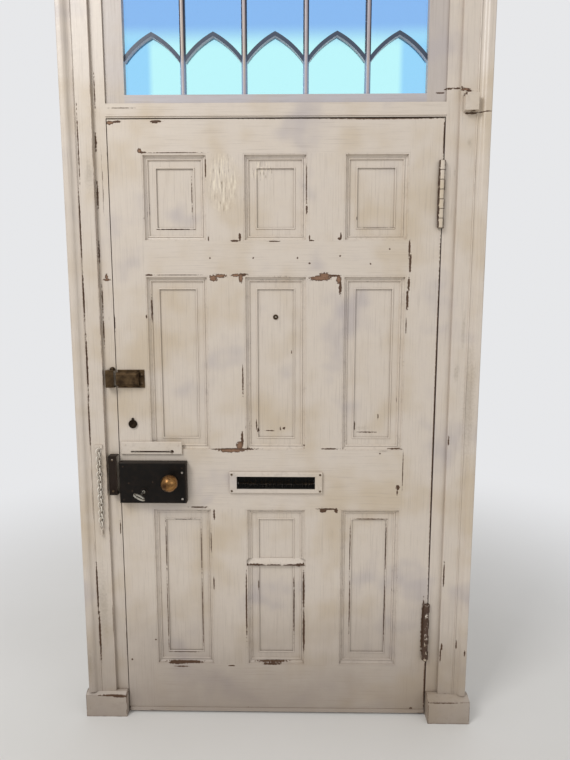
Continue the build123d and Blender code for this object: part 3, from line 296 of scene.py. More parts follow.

# %% [markdown]
# The marks are plain measures on the door: x, z, half width and half height in millimetres from
# the doorway's middle and the floor. Each piece takes only the marks that fall on it, so that no
# finish carries more nodes than it needs. A long thin mark is a crack, a small round one a nail
# hole, and a chip is two or three ovals that overlap. A few long thin ones, beside the hinges,
# along the gap on the hinge side and in the chain slide's slot, are painted shadow.

# %% Where the paint is gone, and painted shadow lines
joinery_marks = [
    (-524, 2042, 14, 6), (-502, 2045, 14, 4), (-376, 2046, 22, 3.9), (-380, 2042, 10, 2.9),
    (100, 2053, 300, 2.2), (350, 2052, 190, 3.6), (-433, 1957, 7.2, 7.3), (-424, 1952, 16, 3),
    (-315, 1951, 93, 1.4), (-223, 1905, 2.6, 35), (-217, 1684, 2, 9), (-115, 1689, 4.2, 14),
    (-131, 1677, 16, 3.6), (-6, 1675, 21, 2.2), (100, 1853, 2, 68), (101, 1775, 3, 19),
    (111, 1685, 2.3, 10), (117, 1677, 8.1, 2.5), (212, 1690, 3.2, 11), (207, 1683, 5.5, 4.7),
    (434, 1651, 3.5, 30), (438, 1605, 3.9, 35), (435, 1539, 4.2, 26), (432, 1488, 4.2, 37),
    (430, 1401, 2, 25), (-414, 1568, 13, 3.2), (-316, 1568, 85, 1.3), (-203, 1558, 15, 11),
    (-180, 1565, 21, 6.8), (-129, 1567, 16, 5.5), (-113, 1558, 7.2, 16), (-106, 1569, 16, 4.8),
    (147, 1557, 38, 8.8), (160, 1565, 21, 11), (191, 1565, 26, 3.8), (207, 1553, 9.1, 14),
    (212, 1526, 5.2, 26), (-534, 1413, 2.7, 31), (-427, 1432, 2.7, 5.9), (-411, 1456, 2.8, 41),
    (-110, 1220, 2.7, 52), (-114, 1019, 4.8, 31), (-123, 998, 12, 15), (-143, 984, 82, 3.5),
    (-150, 979, 48, 7.3), (183, 986, 32, 2.8), (405, 986, 27, 2.1), (433, 909, 1.7, 74),
    (418, 851, 6.8, 8.9), (416, 833, 2.7, 12), (176, 773, 38, 3.6), (162, 768, 14, 9), (207, 768, 6.9, 9),
    (-267, 778, 32, 2.9), (-214, 752, 3.5, 20), (-227, 648, 2.8, 48), (-219, 499, 2.5, 27),
    (-105, 411, 3.2, 130), (97, 468, 4.2, 75), (98, 321, 4.3, 88), (-11, 199, 67, 3.9), (-16, 193, 36, 3.9),
    (-329, 196, 72, 3.5), (-355, 195, 40, 5.8), (-340, 181, 28, 2.7), (-160, 185, 14, 2.7),
    (-509, 16, 15, 3.6), (-396, 14, 3.3, 8), (-102, 15, 2.9, 8), (191, 12, 3.3, 10), (486, 25, 6.1, 4),
    # the marks on the next line and the first two on the line after are painted shadow: beside the hinges'
    # knuckles and along the gap on the hinge side
    (521, 1819, 2.5, 106), (519, 335, 7.1, 106), (527, 339, 7.1, 87), (533, 1990, 3, 66),
    (533, 1090, 3, 625), (532, 120, 3, 105), (-213, 1622, 3, 3), (-72, 1622, 3, 3), (72, 1622, 3, 3),
    # the last two marks on the next line are painted shade in the chain slide's slot, on the wood behind it
    (111, 1605, 4, 3), (210, 1628, 3, 3), (309, 1603, 3, 3), (-423, 976, 64, 3.4), (-353, 976, 5, 5.2),
    (370, 1650, 3, 3), (354, 970, 3, 3), (-431, 284, 3.2, 3.5), (-519, 206, 3.3, 3.5), (96, 996, 3, 3)]
panel_marks = [
    (-271, 1821, 1.9, 80), (-330, 1715, 66, 1.6), (264, 1750, 2.3, 6.3), (328, 1719, 63, 1.3),
    (-66, 1066, 2.7, 21), (-59, 1048, 5.1, 7.7), (-20, 1045, 18, 2.4), (15, 1053, 4.4, 8),
    (28, 1053, 6.1, 4.9), (53, 1313, 2, 10), (268, 1063, 2.7, 21), (312, 1041, 42, 2.8), (347, 1093, 3, 12),
    (409, 1154, 2, 14), (-327, 728, 37, 2.6), (-330, 228, 66, 2.3), (323, 733, 59, 1.8),
    (63, 402, 2.9, 124), (-62, 485, 2.5, 21), (-387, 621, 2, 99), (-388, 375, 2, 147), (-263, 611, 1.9, 88),
    (-263, 376, 2, 147), (259, 625, 1.9, 98), (260, 413, 2, 114), (384, 629, 1.9, 101), (384, 395, 2, 133),
    (-70, 564, 34, 7), (-8, 563, 30, 6), (48, 563, 26, 7), (82, 564, 18, 8), (-101, 560, 5, 14),
    (96, 560, 5, 14)]
frame_marks = [
    (-483, 2086, 52, 1.5), (518, 2128, 15, 2.6), (544, 2138, 14, 4.1), (567, 2138, 15, 3.8),
    (590, 2131, 14, 5.8), (601, 2127, 12, 3.8), (588, 2113, 2.4, 7.3), (608, 2061, 21, 3.2),
    (652, 2063, 21, 2), (-568, 2132, 2.2, 71), (-571, 1982, 4.1, 35), (-572, 1820, 3.9, 59),
    (-575, 1642, 2.9, 51), (-554, 1562, 6.6, 13), (-554, 1553, 14, 5.5), (-571, 1490, 3, 55),
    (-571, 1388, 3, 60), (581, 1016, 3.2, 19), (583, 543, 3, 48), (585, 274, 3.9, 17), (582, 239, 2.8, 33),
    (636, 282, 2.8, 17), (663, 256, 2.8, 13), (-582, 82, 53, 3.6), (-560, 79, 29, 4.2), (-531, 50, 2.9, 51),
    (592, 80, 58, 1.8), (-623, 1968, 2.2, 135), (-628, 1716, 2.3, 117), (-628, 1502, 3, 80),
    (-627, 1273, 3, 116), (-629, 1079, 2.4, 94), (-628, 482, 3.2, 112), (-626, 303, 3.6, 105),
    (-542, 703, 2.5, 31)]
stains_and_chain_shadow = [
    (609, 1974, 11, 22), (570, 1888, 5.4, 24), (597, 1248, 13, 43), (615, 1384, 8.8, 86),
    (-592, 1880, 22, 64), (-668, 202, 22, 85), (293, 1055, 38, 14), (640, 1150, 24, 260),
    # the last stain on the next line is painted shadow, cast by the chain on the frame behind it
    (-610, 420, 26, 190), (-601, 856, 15, 150)]
# beside the middle top panel, paint was scraped down to runs of gloss, painted paler as a highlight
muntin_scrape = [(-167, 1858, 52, 100)]
panel_scrape = [(-44, 1897, 47, 40)]
print("marks", len(joinery_marks), len(panel_marks), len(frame_marks), "stains_and_chain_shadow", len(stains_and_chain_shadow))


def marks_on(piece, marks):
    """The marks that fall on a piece as it is seen from the room, in metres."""
    low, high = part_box(piece)
    chosen = []
    for x, z, wide, tall in marks:
        if (low.x < (x + wide) / 1000 and high.x > (x - wide) / 1000
                and low.z < (z + tall) / 1000 and high.z > (z - tall) / 1000):
            chosen.append((x / 1000, z / 1000, wide / 1000, tall / 1000))
    return chosen


# %% [markdown]
# The paint is an off-white that has gone warm and grubby, with brown wood under it. It could be
# one colour with a little noise, but old paint is read by its layers. So the tree is laid on in
# the order that time did it: the coats, the dirt with painted shade in the corners and low down,
# and last what is bare, with a few painted shadow lines, each over the one before.

# %% The colours of paint and wood
PAINT = rgb(210, 198, 184)
YELLOWED = rgb(190, 170, 138)
COOL = rgb(180, 171, 169)
# the next colour is glossy paint, painted paler as a highlight
GLOSSY_HIGHLIGHT = rgb(230, 218, 198)
# the next colour darkens corners and gaps: dirt, and painted shade
CORNER_DIRT_AND_SHADE = rgb(92, 76, 62)
STAIN = rgb(128, 114, 92)
# the next colour darkens brush streaks, and the low part of each piece as floor dirt and painted shade
FLOOR_DIRT_AND_SHADE = rgb(127, 113, 102)
BARE = rgb(104, 74, 52)
PALE_WOOD = rgb(156, 122, 98)
DARK = rgb(40, 28, 21)
# how fine the brush marks and the wear are along x, y and z, by the way that the wood runs
STROKES = {"up": (240.0, 240.0, 7.0), "across": (7.0, 240.0, 240.0), "any": (60.0, 60.0, 60.0)}
ALONG = {"up": (1.0, 1.0, 0.1), "across": (0.1, 1.0, 1.0), "any": (0.6, 0.6, 0.6)}
print("paint", [round(value, 3) for value in PAINT[:3]])

# %% Flakes, scrapes and bare wood
GROWTH = 1.15       # the ragged rim eats into an oval, so each is drawn this much larger
BROAD_MARK = 0.0053
BROAD_RIM = 0.0015  # stays dark round the pale middle
DAMP_LEVEL = 0.9
SCRAPE_RUNS = (190.0, 190.0, 24.0)


def flakes(tree, place, marks, depth, ragged=1.8, edge=0.14):
    """All the marks of a piece. The depth, a middle and a half along y, keeps them off its back."""
    so_far = 0.0
    if marks:
        rough = times(tree, minus(tree, noise(tree, place, 130.0, 4.0, 0.7), 0.42), ragged)
    for x, z, wide, tall in marks:
        so_far = use_group(tree, flake, Place=place, Ragged=rough, Centre=(x, depth[0], z),
                           Half_Size=(wide * GROWTH, depth[1], tall * GROWTH), So_Far=so_far,
                           Edge=edge)["Mask"]
    return so_far


def scrape(tree, place, marks, depth, colour, dull):
    """Glossy runs where a scraper went, painted paler as a highlight, and stained ones between them."""
    area = flakes(tree, place, marks, depth, ragged=1.0, edge=0.45)
    runs = noise(tree, vector(tree, "MULTIPLY", place, SCRAPE_RUNS), 1.0, 3.0, 0.6)
    gloss_and_highlight = times(tree, area, ramp(tree, runs, 0.5, 0.6))
    stained = ramp(tree, runs, 0.42, 0.32)
    colour = layer(tree, colour, (gloss_and_highlight, 0.85, GLOSSY_HIGHLIGHT), (area, stained, STAIN))
    return colour, minus(tree, dull, times(tree, gloss_and_highlight, 0.15))


def bare_wood(tree, place, marks, depth):
    """Dark in a crack and in a painted shadow line, but clean and pale inside a broad flake that is above
    the damp.
    """
    grain = noise(tree, place, 220.0, 4.0)
    wood = mix(tree, grain, BARE, DARK)
    broad = [(x, z, wide - BROAD_RIM, tall - BROAD_RIM) for x, z, wide, tall in marks
             if min(wide, tall) > BROAD_MARK and z > DAMP_LEVEL]
    if broad:
        clean = mix(tree, grain, PALE_WOOD, BARE)
        wood = mix(tree, flakes(tree, place, broad, depth, edge=0.5), wood, clean)
    return wood


print("a mark counts as broad from", BROAD_MARK * 2000, "mm across")

# %% The painted finish
def paint(piece, run="up", wear=0.5, grain=60.0, marks=(), tone=PAINT, gloss=0.3, reach=0.004,
          depth=(0.0, 0.03), smudges_and_shadow=(), scraped=(), corners=0.42, ragged=1.8):
    material, tree, shader, place = start_material("Paint " + piece)
    coat = use_group(tree, coats, Place=place, Stroke=STROKES[run])
    worn = use_group(tree, arris, Place=place, Amount=wear, Grain=grain, Reach=reach, Along=ALONG[run])
    dirt_and_shade = use_group(tree, grime_and_shade, Place=place)
    streaks = ramp(tree, coat["Strokes"], 0.48, 0.75)
    # the last covering here darkens each piece towards the floor: dirt there, and painted shade
    colour = layer(tree, tone, (coat["Cool"], 0.75, COOL), (coat["Patches"], 0.6, YELLOWED),
                   (coat["Lumps"], 0.2, COOL), (streaks, 0.22, FLOOR_DIRT_AND_SHADE),
                   (dirt_and_shade["Floor"], 0.72, FLOOR_DIRT_AND_SHADE))
    if smudges_and_shadow:
        # soft smudges: stains, and on the frame by the chain a painted shadow
        soft_stains_and_shadow = flakes(tree, place, smudges_and_shadow, depth, ragged=1.2, edge=0.95)
        colour = layer(tree, colour, (soft_stains_and_shadow, 0.42, STAIN))
    # corners and gaps darkened: dirt that settles there, and painted shade
    colour = layer(tree, colour, (dirt_and_shade["Corner Dirt And Shade"], corners, CORNER_DIRT_AND_SHADE))
    dull = plus(tree, gloss, times(tree, coat["Lumps"], 0.12))
    dull = plus(tree, dull, times(tree, dirt_and_shade["Floor"], 0.18))
    if scraped:
        colour, dull = scrape(tree, place, scraped, depth, colour, dull)
    # what is bare covers all of it: arrises by chance, and the marks in their places, a few of which are
    # painted shadow lines
    bare_and_shaded = calc(tree, "MAXIMUM", worn["Mask"], flakes(tree, place, marks, depth, ragged))
    height = minus(tree, coat["Height"], times(tree, bare_and_shaded, 1.6))
    fill(tree, shader, {
        "Base Color": mix(tree, bare_and_shaded, colour, bare_wood(tree, place, marks, depth)),
        "Roughness": plus(tree, dull, times(tree, bare_and_shaded, 0.45), clamp=True),
        "Normal": relief(tree, height, 0.32, 0.0009)})
    return material


# %% [markdown]
# Each length of wood gets a material of its own. One for all would be shorter, but the brush went
# along each stile and each rail, and each has its own marks. The mouldings are worn most, because
# a planted edge is knocked first.

# %% Paint the leaf
for piece in ("lock_stile", "hanging_stile", "muntins", "bottom_rail", "lock_rail", "frieze_rail",
              "top_rail"):
    run = "across" if piece.endswith("rail") else "up"
    scraped = marks_on(piece, muntin_scrape) if piece == "muntins" else ()
    finish(paint(piece, run, wear=0.36, marks=marks_on(piece, joinery_marks),
                 smudges_and_shadow=marks_on(piece, stains_and_chain_shadow), scraped=scraped), piece)
for piece, marks in (("room_mouldings", joinery_marks), ("outdoor_mouldings", ())):
    finish(paint(piece, "any", wear=0.44, grain=90.0, marks=marks_on(piece, marks), reach=0.0025,
                 corners=0.5), piece)
for piece in ("panels", "centre_panel_upper_board", "centre_panel_lower_board"):
    scraped = marks_on(piece, panel_scrape) if piece == "panels" else ()
    finish(paint(piece, "up", wear=0.4, marks=marks_on(piece, panel_marks), gloss=0.26,
                 depth=(0.008, 0.018), smudges_and_shadow=marks_on(piece, stains_and_chain_shadow), scraped=scraped), piece)

# %% Paint the frame
for piece, run, wear in (
        ("left_jamb", "up", 0.5), ("right_jamb", "up", 0.45), ("transom", "across", 0.42),
        ("frame_head", "across", 0.4), ("left_architrave", "up", 0.6), ("right_architrave", "up", 0.5),
        ("head_architrave", "across", 0.4), ("left_plinth_block", "any", 0.6),
        ("right_plinth_block", "any", 0.6), ("patch_block", "any", 0.45), ("draught_strip", "across", 0.5)):
    finish(paint(piece, run, wear=wear, marks=marks_on(piece, frame_marks),
                 smudges_and_shadow=marks_on(piece, stains_and_chain_shadow), depth=(-0.03, 0.062)), piece)

# %% Paint the fittings that were painted over
# the slot in the chain's slide is painted dark as shade, with a round hole at its right end
slot_shade = [(-0.423, 0.976, 0.066, 0.0027), (-0.353, 0.976, 0.0054, 0.0054)]
for piece in ("letter_frame", "chain_slide", "chain_staple", "chain_button"):
    marks = slot_shade if piece == "chain_slide" else ()
    finish(paint(piece, "any", wear=0.36, grain=110.0, gloss=0.28, reach=0.0018, marks=marks,
                 depth=(-0.008, 0.03), ragged=0.3), piece)

# %% [markdown]
# The fanlight's wood has the same paint, which daylight from behind makes look cooler. Its
# pointed bars are thin iron in a slate grey, darkened further as painted shade since the light is
# behind them, and their undersides are painted pale as a highlight. The upright bars' flanks are
# painted dark as shade above the points and blue as daylight lower down. The bars could be cut
# into pieces with a paint each, but one finish can ask which way a face looks. The normal in the
# object's own space says that, from any view.

# %% Paint the fanlight
# how far the slate grey and painted shade cover the paint
SLATE_AND_SHADE_COVER = 0.965
# the flanks' blue is painted daylight and their dark is painted shade
POINTS = 2.2, 2.27      # the bars' sides turn from blue to dark between these heights
for piece, run, tone in (("sash_stiles", "up", rgb(188, 178, 170)),
                         ("sash_rails", "across", rgb(184, 179, 182))):
    finish(paint(piece, run, wear=0.35, marks=marks_on(piece, frame_marks), tone=tone), piece)


def arch_paint():
    """The pointed bars: slate grey and painted shade nearly everywhere, and a painted highlight underneath.
    """
    material = paint("arch_bars", "any", wear=0.3, corners=0.3)
    tree, shader, colour = reopen(material)
    # slate grey, partly the bars' own paint and partly painted shade of their backlit faces
    slate = mix(tree, SLATE_AND_SHADE_COVER, colour, rgb(46, 62, 84))
    # faces that look down are painted pale as a highlight
    below = ramp(tree, facing(tree, "Z"), -0.25, -0.6)
    fill(tree, shader, {"Base Color": mix(tree, below, slate, rgb(206, 208, 222))})
    return material


def bar_paint():
    """The upright bars: a pale face, and flanks painted dark as shade above the points and blue as daylight
    lower down.
    """
    material = paint("glazing_bars", "up", wear=0.35, tone=rgb(168, 158, 164))
    tree, shader, face = reopen(material)
    above = ramp(tree, axis(tree, here(tree), "Z"), *POINTS)
    # the flanks are painted light and shade: dark as shade above the points, blue as daylight lower down
    side_light_and_shade = mix(tree, above, rgb(134, 156, 186), rgb(52, 50, 64))
    turned = ramp(tree, calc(tree, "ABSOLUTE", facing(tree, "X")), 0.3, 0.6)
    fill(tree, shader, {"Base Color": mix(tree, turned, face, side_light_and_shade)})
    return material


finish(arch_paint(), "arch_bars")
finish(bar_paint(), "glazing_bars")

# %% [markdown]
# The hinges are iron under the same paint, but each closing rubs them. They flake to dark brown
# round every knuckle, and the lower one, which is in the damp, is mostly bare. The flakes could
# be listed like the wood's, but here they follow a rule: the grime group finds the joints between
# knuckles, the normal finds the barrel's sides, and the height says which hinge it is. Joints and
# sides are where shade falls, so their dark brown is partly flaking and partly painted shade.

# %% Flaking hinges
def hinge_paint():
    material, tree, shader, place = start_material("Flaking hinge")
    coat = use_group(tree, coats, Place=place, Stroke=STROKES["any"])
    worn = use_group(tree, arris, Place=place, Amount=0.85, Grain=150.0, Reach=0.003)
    dirt_and_shade = use_group(tree, grime_and_shade, Place=place, Reach=0.011, Floor_Height=0.1)
    lower = ramp(tree, axis(tree, place, "Z"), 0.9, 0.7)
    # the barrel's sides turned away from the front are painted dark as shade, as well as flaked
    shaded_sides = ramp(tree, calc(tree, "ABSOLUTE", facing(tree, "X")), 0.5, 0.8)
    patchy = minus(tree, noise(tree, place, 85.0, 5.0, 0.72), 0.5)
    loose_and_shaded = total(tree, (dirt_and_shade["Corner Dirt And Shade"], 2.2), (lower, 0.55), (shaded_sides, 0.56), (patchy, 1.6))
    bare_and_shaded = calc(tree, "MAXIMUM", ramp(tree, loose_and_shaded, 0.36, 0.5), worn["Mask"])
    colour = mix(tree, coat["Patches"], PAINT, YELLOWED)
    # this dark brown is bare rust, and on the barrel's sides and in its joints also painted shade
    rust = mix(tree, noise(tree, place, 260.0, 3.0), rgb(92, 66, 48), DARK)
    height = minus(tree, coat["Height"], times(tree, bare_and_shaded, 1.6))
    fill(tree, shader, {
        "Base Color": mix(tree, bare_and_shaded, colour, rust),
        "Roughness": plus(tree, 0.34, times(tree, bare_and_shaded, 0.4)),
        "Normal": relief(tree, height, 0.5, 0.001)})
    return material


finish(hinge_paint(), "frame_hinge_plates", "leaf_hinge_plates", "hinge_pins")

# %% [markdown]
# The rim lock and its keep are sheet iron with an old dark lacquer. Where the lacquer has worn
# thin the iron is rust brown, and at the rims, where hands pass, it shines a little. A plain
# metal shader would be too bright, so the lacquer is a dark coat that isn't metal, and only the
# worn rims turn to metal.

# %% Lock iron
def iron(name, lacquer, rust):
    material, tree, shader, place = start_material(name)
    worn = use_group(tree, arris, Place=place, Amount=0.5, Grain=140.0, Reach=0.003)
    blotch = noise(tree, place, 55.0, 5.0, 0.65)
    fine = noise(tree, place, 420.0, 3.0, 0.6)
    colour = layer(tree, mix(tree, ramp(tree, blotch, 0.4, 0.72), lacquer, rust),
                   (fine, 0.2, rgb(30, 24, 20)), (worn["Soft"], 0.22, rgb(104, 82, 64)))
    height = plus(tree, blotch, times(tree, fine, 0.4))
    fill(tree, shader, {
        "Base Color": colour,
        "Specular IOR Level": 0.16,
        "Roughness": plus(tree, 0.34, times(tree, blotch, 0.3)),
        "Metallic": times(tree, worn["Mask"], 0.7),
        "Normal": relief(tree, height, 0.35, 0.0006)})
    return material


lock_iron = iron("Lock iron", rgb(12, 9, 7), rgb(26, 19, 14))
finish(lock_iron, "rim_lock_case")
finish(iron("Keep iron", rgb(16, 9, 7), rgb(26, 16, 12)), "rim_lock_keep")

# %% [markdown]
# Bolts are bare steel, and the knobs, plates and flap are brass that nobody has polished for
# years. Both are metals, so their colour is in the reflection. One even colour would look new.
# Tarnish is a darker, rougher noise over the metal, and the rims that hands touch stay lighter.

# %% A tarnished metal
def metal(name, clean, tarnished, rough, cover, scale=40.0, spot=None):
    """The cover is how much of the metal is tarnished. A spot is a place, a half size and a colour."""
    material, tree, shader, place = start_material(name)
    cloud = noise(tree, place, scale, 5.0, 0.62)
    worn = use_group(tree, arris, Place=place, Amount=0.6, Grain=120.0, Reach=0.002)
    tarnish = ramp(tree, cloud, 0.62 - cover * 0.4, 0.72)
    tarnish = minus(tree, tarnish, times(tree, worn["Soft"], 0.5), clamp=True)
    colour = mix(tree, tarnish, clean, tarnished)
    if spot:
        centre, half, shade = spot
        there = use_group(tree, flake, Place=place, Centre=centre, Half_Size=half, Edge=0.1)["Mask"]
        colour = mix(tree, there, colour, shade)
    fill(tree, shader, {
        "Base Color": colour,
        "Metallic": 1.0,
        "Roughness": plus(tree, rough, times(tree, tarnish, 0.28)),
        "Normal": relief(tree, cloud, 0.2, 0.0004)})
    return material


# %% Steel, bronze and brass
finish(metal("Bolt steel", rgb(196, 192, 188), rgb(128, 120, 112), rough=0.28, cover=0.35),
       "rim_latch_bolt", "rim_dead_bolt", "knob_spindle", "mortice_bolt", "night_latch_bolt",
       "mortice_lock_case", "mortice_strike")
finish(metal("Dark bronze", rgb(108, 88, 64), rgb(50, 38, 28), rough=0.38, cover=0.9),
       "night_latch_case", "night_latch_keep")
finish(metal("Blackened bronze", rgb(66, 54, 42), rgb(30, 23, 18), rough=0.4, cover=0.9, scale=90.0),
       "keyhole_plate", "keyhole_cover")
finish(metal("Brown brass", rgb(164, 122, 74), rgb(78, 54, 36), rough=0.2, cover=0.7), "door_knobs")
finish(metal("Key steel", rgb(188, 184, 174), rgb(132, 126, 116), rough=0.44, cover=0.45, scale=120.0),
       "key")
outdoor_brass = {"clean": rgb(156, 122, 78), "tarnished": rgb(104, 80, 52), "rough": 0.3,
                 "cover": 0.6, "scale": 60.0}
finish(metal("Outdoor brass", **outdoor_brass), "outdoor_plates", "night_latch_cylinder")
# no light reaches the inner side of the flap and its plate, so that skin is nearly black
SKIN = 0.0012
BEHIND = 0.05       # the shade goes on this far indoors, where there is no metal
for piece in ("outer_letter_plate", "letter_flap"):
    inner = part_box(piece)[0].y
    shaded = ((0.0, inner - BEHIND, 0.87), (2.0, BEHIND + SKIN, 2.0), rgb(9, 8, 7))
    finish(metal("Brass " + piece, **outdoor_brass, spot=shaded), piece)
# the viewer's rim is dark, and its lens a pale dot in the room
low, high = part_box("door_viewer")
lens = (((low.x + high.x) / 2, low.y, (low.z + high.z) / 2), (0.0034, 0.02, 0.0034), rgb(206, 196, 180))
finish(metal("Viewer", rgb(96, 78, 58), rgb(44, 34, 26), rough=0.4, cover=0.9, spot=lens), "door_viewer")

# %% [markdown]
# The screws aren't all alike: dark on iron and brass, clean on the lock, and under the paint by
# the chain. They could be three pieces with a finish each. One finish is enough, because a wide
# oval of the flake group picks out each of the two odd lots by its place.

# %% The finish of the screws
def screw_finish():
    material = metal("Screw heads", rgb(112, 94, 74), rgb(52, 42, 34), rough=0.4, cover=0.8, scale=200.0)
    tree, shader, colour = reopen(material)
    place = here(tree)
    on_lock, by_chain = (
        use_group(tree, flake, Place=place, Centre=centre, Half_Size=half)["Mask"] for centre, half in (
            ((-0.31, -0.03, 0.87), (0.05, 0.1, 0.09)), ((-0.5, -0.03, 0.995), (0.2, 0.1, 0.045))))
    colour = mix(tree, on_lock, colour, rgb(196, 190, 182))
    fill(tree, shader, {
        "Base Color": mix(tree, by_chain, colour, PAINT),
        "Metallic": minus(tree, 1.0, by_chain)})
    return material


screw_metal = screw_finish()
print(screw_metal.name, "has", len(screw_metal.node_tree.nodes), "nodes")

# %% [markdown]
# Old drawn glass isn't flat, so its reflections wander. The panes could be bent, but a weak,
# broad bump is enough at this thickness. Plain glass would show the pale room behind it, so the
# two blues that daylight gives the fanlight are painted into the glass's colour, by height.

# %% Glass
PALE_BELOW, DEEP_ABOVE = 2.27, 2.35
OUTER_PANES = 0.385, 0.41   # from the middle of the doorway


def window_glass():
    material, tree, shader, place = start_material("Drawn glass")
    height = axis(tree, place, "Z")
    deep = ramp(tree, height, PALE_BELOW, DEEP_ABOVE)
    painted_daylight = mix(tree, deep, rgb(190, 248, 253), rgb(136, 186, 242))
    # the outer panes low down are painted a stronger daylight blue
    outer = ramp(tree, calc(tree, "ABSOLUTE", axis(tree, place, "X")), *OUTER_PANES)
    low = ramp(tree, height, DEEP_ABOVE, PALE_BELOW)
    painted_daylight = layer(tree, painted_daylight, (outer, low, rgb(150, 214, 252)))
    fill(tree, shader, {
        "Base Color": painted_daylight,
        "Transmission Weight": 1.0,
        "Roughness": 0.02,
        "IOR": 1.45,
        "Normal": relief(tree, noise(tree, place, 14.0, 1.0), 0.12, 0.002)})
    return material


finish(window_glass(), "lower_panes", "upper_panes")

# %% [markdown]
# What repeats could be copied in a loop of code. It is made with Geometry Nodes, because one
# small tree then serves every copy and its sizes stay named inputs. The helpers build such a
# tree, give it to a mesh of points, and turn the result into a plain mesh. A modifier's inputs
# are set by the identifier of the socket, since two sockets may share a name.

# %% Helpers: Geometry Nodes
def start_tree(name, sizes):
    tree = bpy.data.node_groups.new(name, "GeometryNodeTree")
    tree.interface.new_socket("Points", in_out="INPUT", socket_type="NodeSocketGeometry")
    add_inputs(tree, sizes)
    tree.interface.new_socket("Result", in_out="OUTPUT", socket_type="NodeSocketGeometry")
    return tree, tree.nodes.new("NodeGroupInput").outputs


def end_tree(tree, geometry, material):
    """Makes the copies real and gives them their material."""
    real = put(tree, "GeometryNodeRealizeInstances", {"Geometry": geometry}).outputs[0]
    dressed = put(tree, "GeometryNodeSetMaterial", {"Geometry": real, "Material": material})
    put(tree, "NodeGroupOutput", {"Result": dressed.outputs[0]})
    return tree


def xyz(tree, x=0.0, y=0.0, z=0.0):
    return put(tree, "ShaderNodeCombineXYZ", {"X": x, "Y": y, "Z": z}).outputs[0]


def chance(tree, low, high, seed):
    """A number between two limits for each point, the same in each run."""
    inputs = {"Min": low, "Max": high, "Seed": seed}
    return put(tree, "FunctionNodeRandomValue", inputs, data_type="FLOAT").outputs["Value"]


def shift(tree, thing, by=(0.0, 0.0, 0.0), turn=(0.0, 0.0, 0.0), size=(1.0, 1.0, 1.0)):
    inputs = {"Geometry": thing, "Translation": by, "Rotation": turn, "Scale": size}
    return put(tree, "GeometryNodeTransform", inputs).outputs[0]


def join(tree, *things):
    joined = put(tree, "GeometryNodeJoinGeometry")
    for thing in things:
        tree.links.new(thing, joined.inputs["Geometry"])
    return joined.outputs[0]


def copies(tree, points, thing, turn=(0.0, 0.0, 0.0), size=(1.0, 1.0, 1.0)):
    """One copy of a thing on each point."""
    inputs = {"Points": points, "Instance": thing, "Rotation": turn, "Scale": size}
    return put(tree, "GeometryNodeInstanceOnPoints", inputs).outputs[0]


def grow(name, tree, points, sizes):
    """Runs a tree on a mesh of points and returns the result as a plain mesh object."""
    mesh = bpy.data.meshes.new(name + " points")
    mesh.from_pydata(points, [], [])
    seedling = bpy.data.objects.new(name + " points", mesh)
    bpy.context.scene.collection.objects.link(seedling)
    modifier = seedling.modifiers.new(name, "NODES")
    modifier.node_group = tree
    ids = {item.name: item.identifier for item in tree.interface.items_tree if item.in_out == "INPUT"}
    for label, value in sizes.items():
        modifier[ids[label]] = value
    grown = bpy.data.meshes.new_from_object(seedling.evaluated_get(bpy.context.evaluated_depsgraph_get()))
    bpy.data.objects.remove(seedling)
    piece = bpy.data.objects.new(name, grown)
    bpy.context.scene.collection.objects.link(piece)
    print(name, len(grown.vertices), "points", len(grown.polygons), "faces")
    return piece


# %% [markdown]
# A slotted screw head is a low disc with two half moons on it, and the gap between them is the
# slot. Cutting a slot out of a disc needs a boolean, which is slow and can fail. The moons need
# none: an arc is closed, filled and raised. Each head is turned by chance, as a joiner leaves it.

# %% The tree for a slotted screw
# shares of the head's height: the disc's depth, the moons', and where the moons start inside it
DISC, MOON, SEAT = 0.6, 0.5, 0.29
MOON_TOP = 0.86     # how wide its top is beside its foot


def screw_tree(material):
    sizes = {"Radius": 0.0036, "Height": 0.0014, "Slot": 0.0009, "Seed": 3}
    tree, given = start_tree("Slotted screws", sizes)
    radius, height = given["Radius"], given["Height"]
    disc = put(tree, "GeometryNodeMeshCylinder",
               {"Vertices": 24, "Radius": radius, "Depth": times(tree, height, DISC)}, fill_type="NGON")
    # the slot cuts this angle off each end of the half circle
    lean = calc(tree, "ARCSINE", calc(tree, "DIVIDE", given["Slot"], times(tree, radius, 2.0)))
    sweep = minus(tree, math.pi, times(tree, lean, 2.0))
    arc = put(tree, "GeometryNodeCurveArc",
              {"Resolution": 14, "Radius": radius, "Start Angle": lean, "Sweep Angle": sweep})
    closed = put(tree, "GeometryNodeSetSplineCyclic", {"Geometry": arc.outputs[0], "Cyclic": True})
    moon = put(tree, "GeometryNodeFillCurve", {"Curve": closed.outputs[0]}, mode="NGONS").outputs[0]
    raised = put(tree, "GeometryNodeExtrudeMesh",
                 {"Mesh": moon, "Offset Scale": times(tree, height, MOON), "Individual": False}).outputs
    domed = put(tree, "GeometryNodeScaleElements",
                {"Geometry": raised["Mesh"], "Selection": raised["Top"], "Scale": MOON_TOP})
    # raising a face leaves no back, so the same face turned round closes the moon
    back = put(tree, "GeometryNodeFlipFaces", {"Mesh": moon})
    half = join(tree, domed.outputs[0], back.outputs[0])
    first = shift(tree, half, by=xyz(tree, z=times(tree, height, SEAT)))
    second = shift(tree, first, turn=(0.0, 0.0, math.pi))
    head = join(tree, disc.outputs[0], first, second)
    turn = xyz(tree, x=math.pi / 2, y=chance(tree, 0.0, math.pi, given["Seed"]))
    return end_tree(tree, copies(tree, given["Points"], head, turn), material)


# %% Slotted screws in the plain heads' places
HEAD_ROOM = 0.012   # points nearer than this belong to one head
OFF_FACE = 0.0004   # just under half a disc's depth, so that its back is on the surface


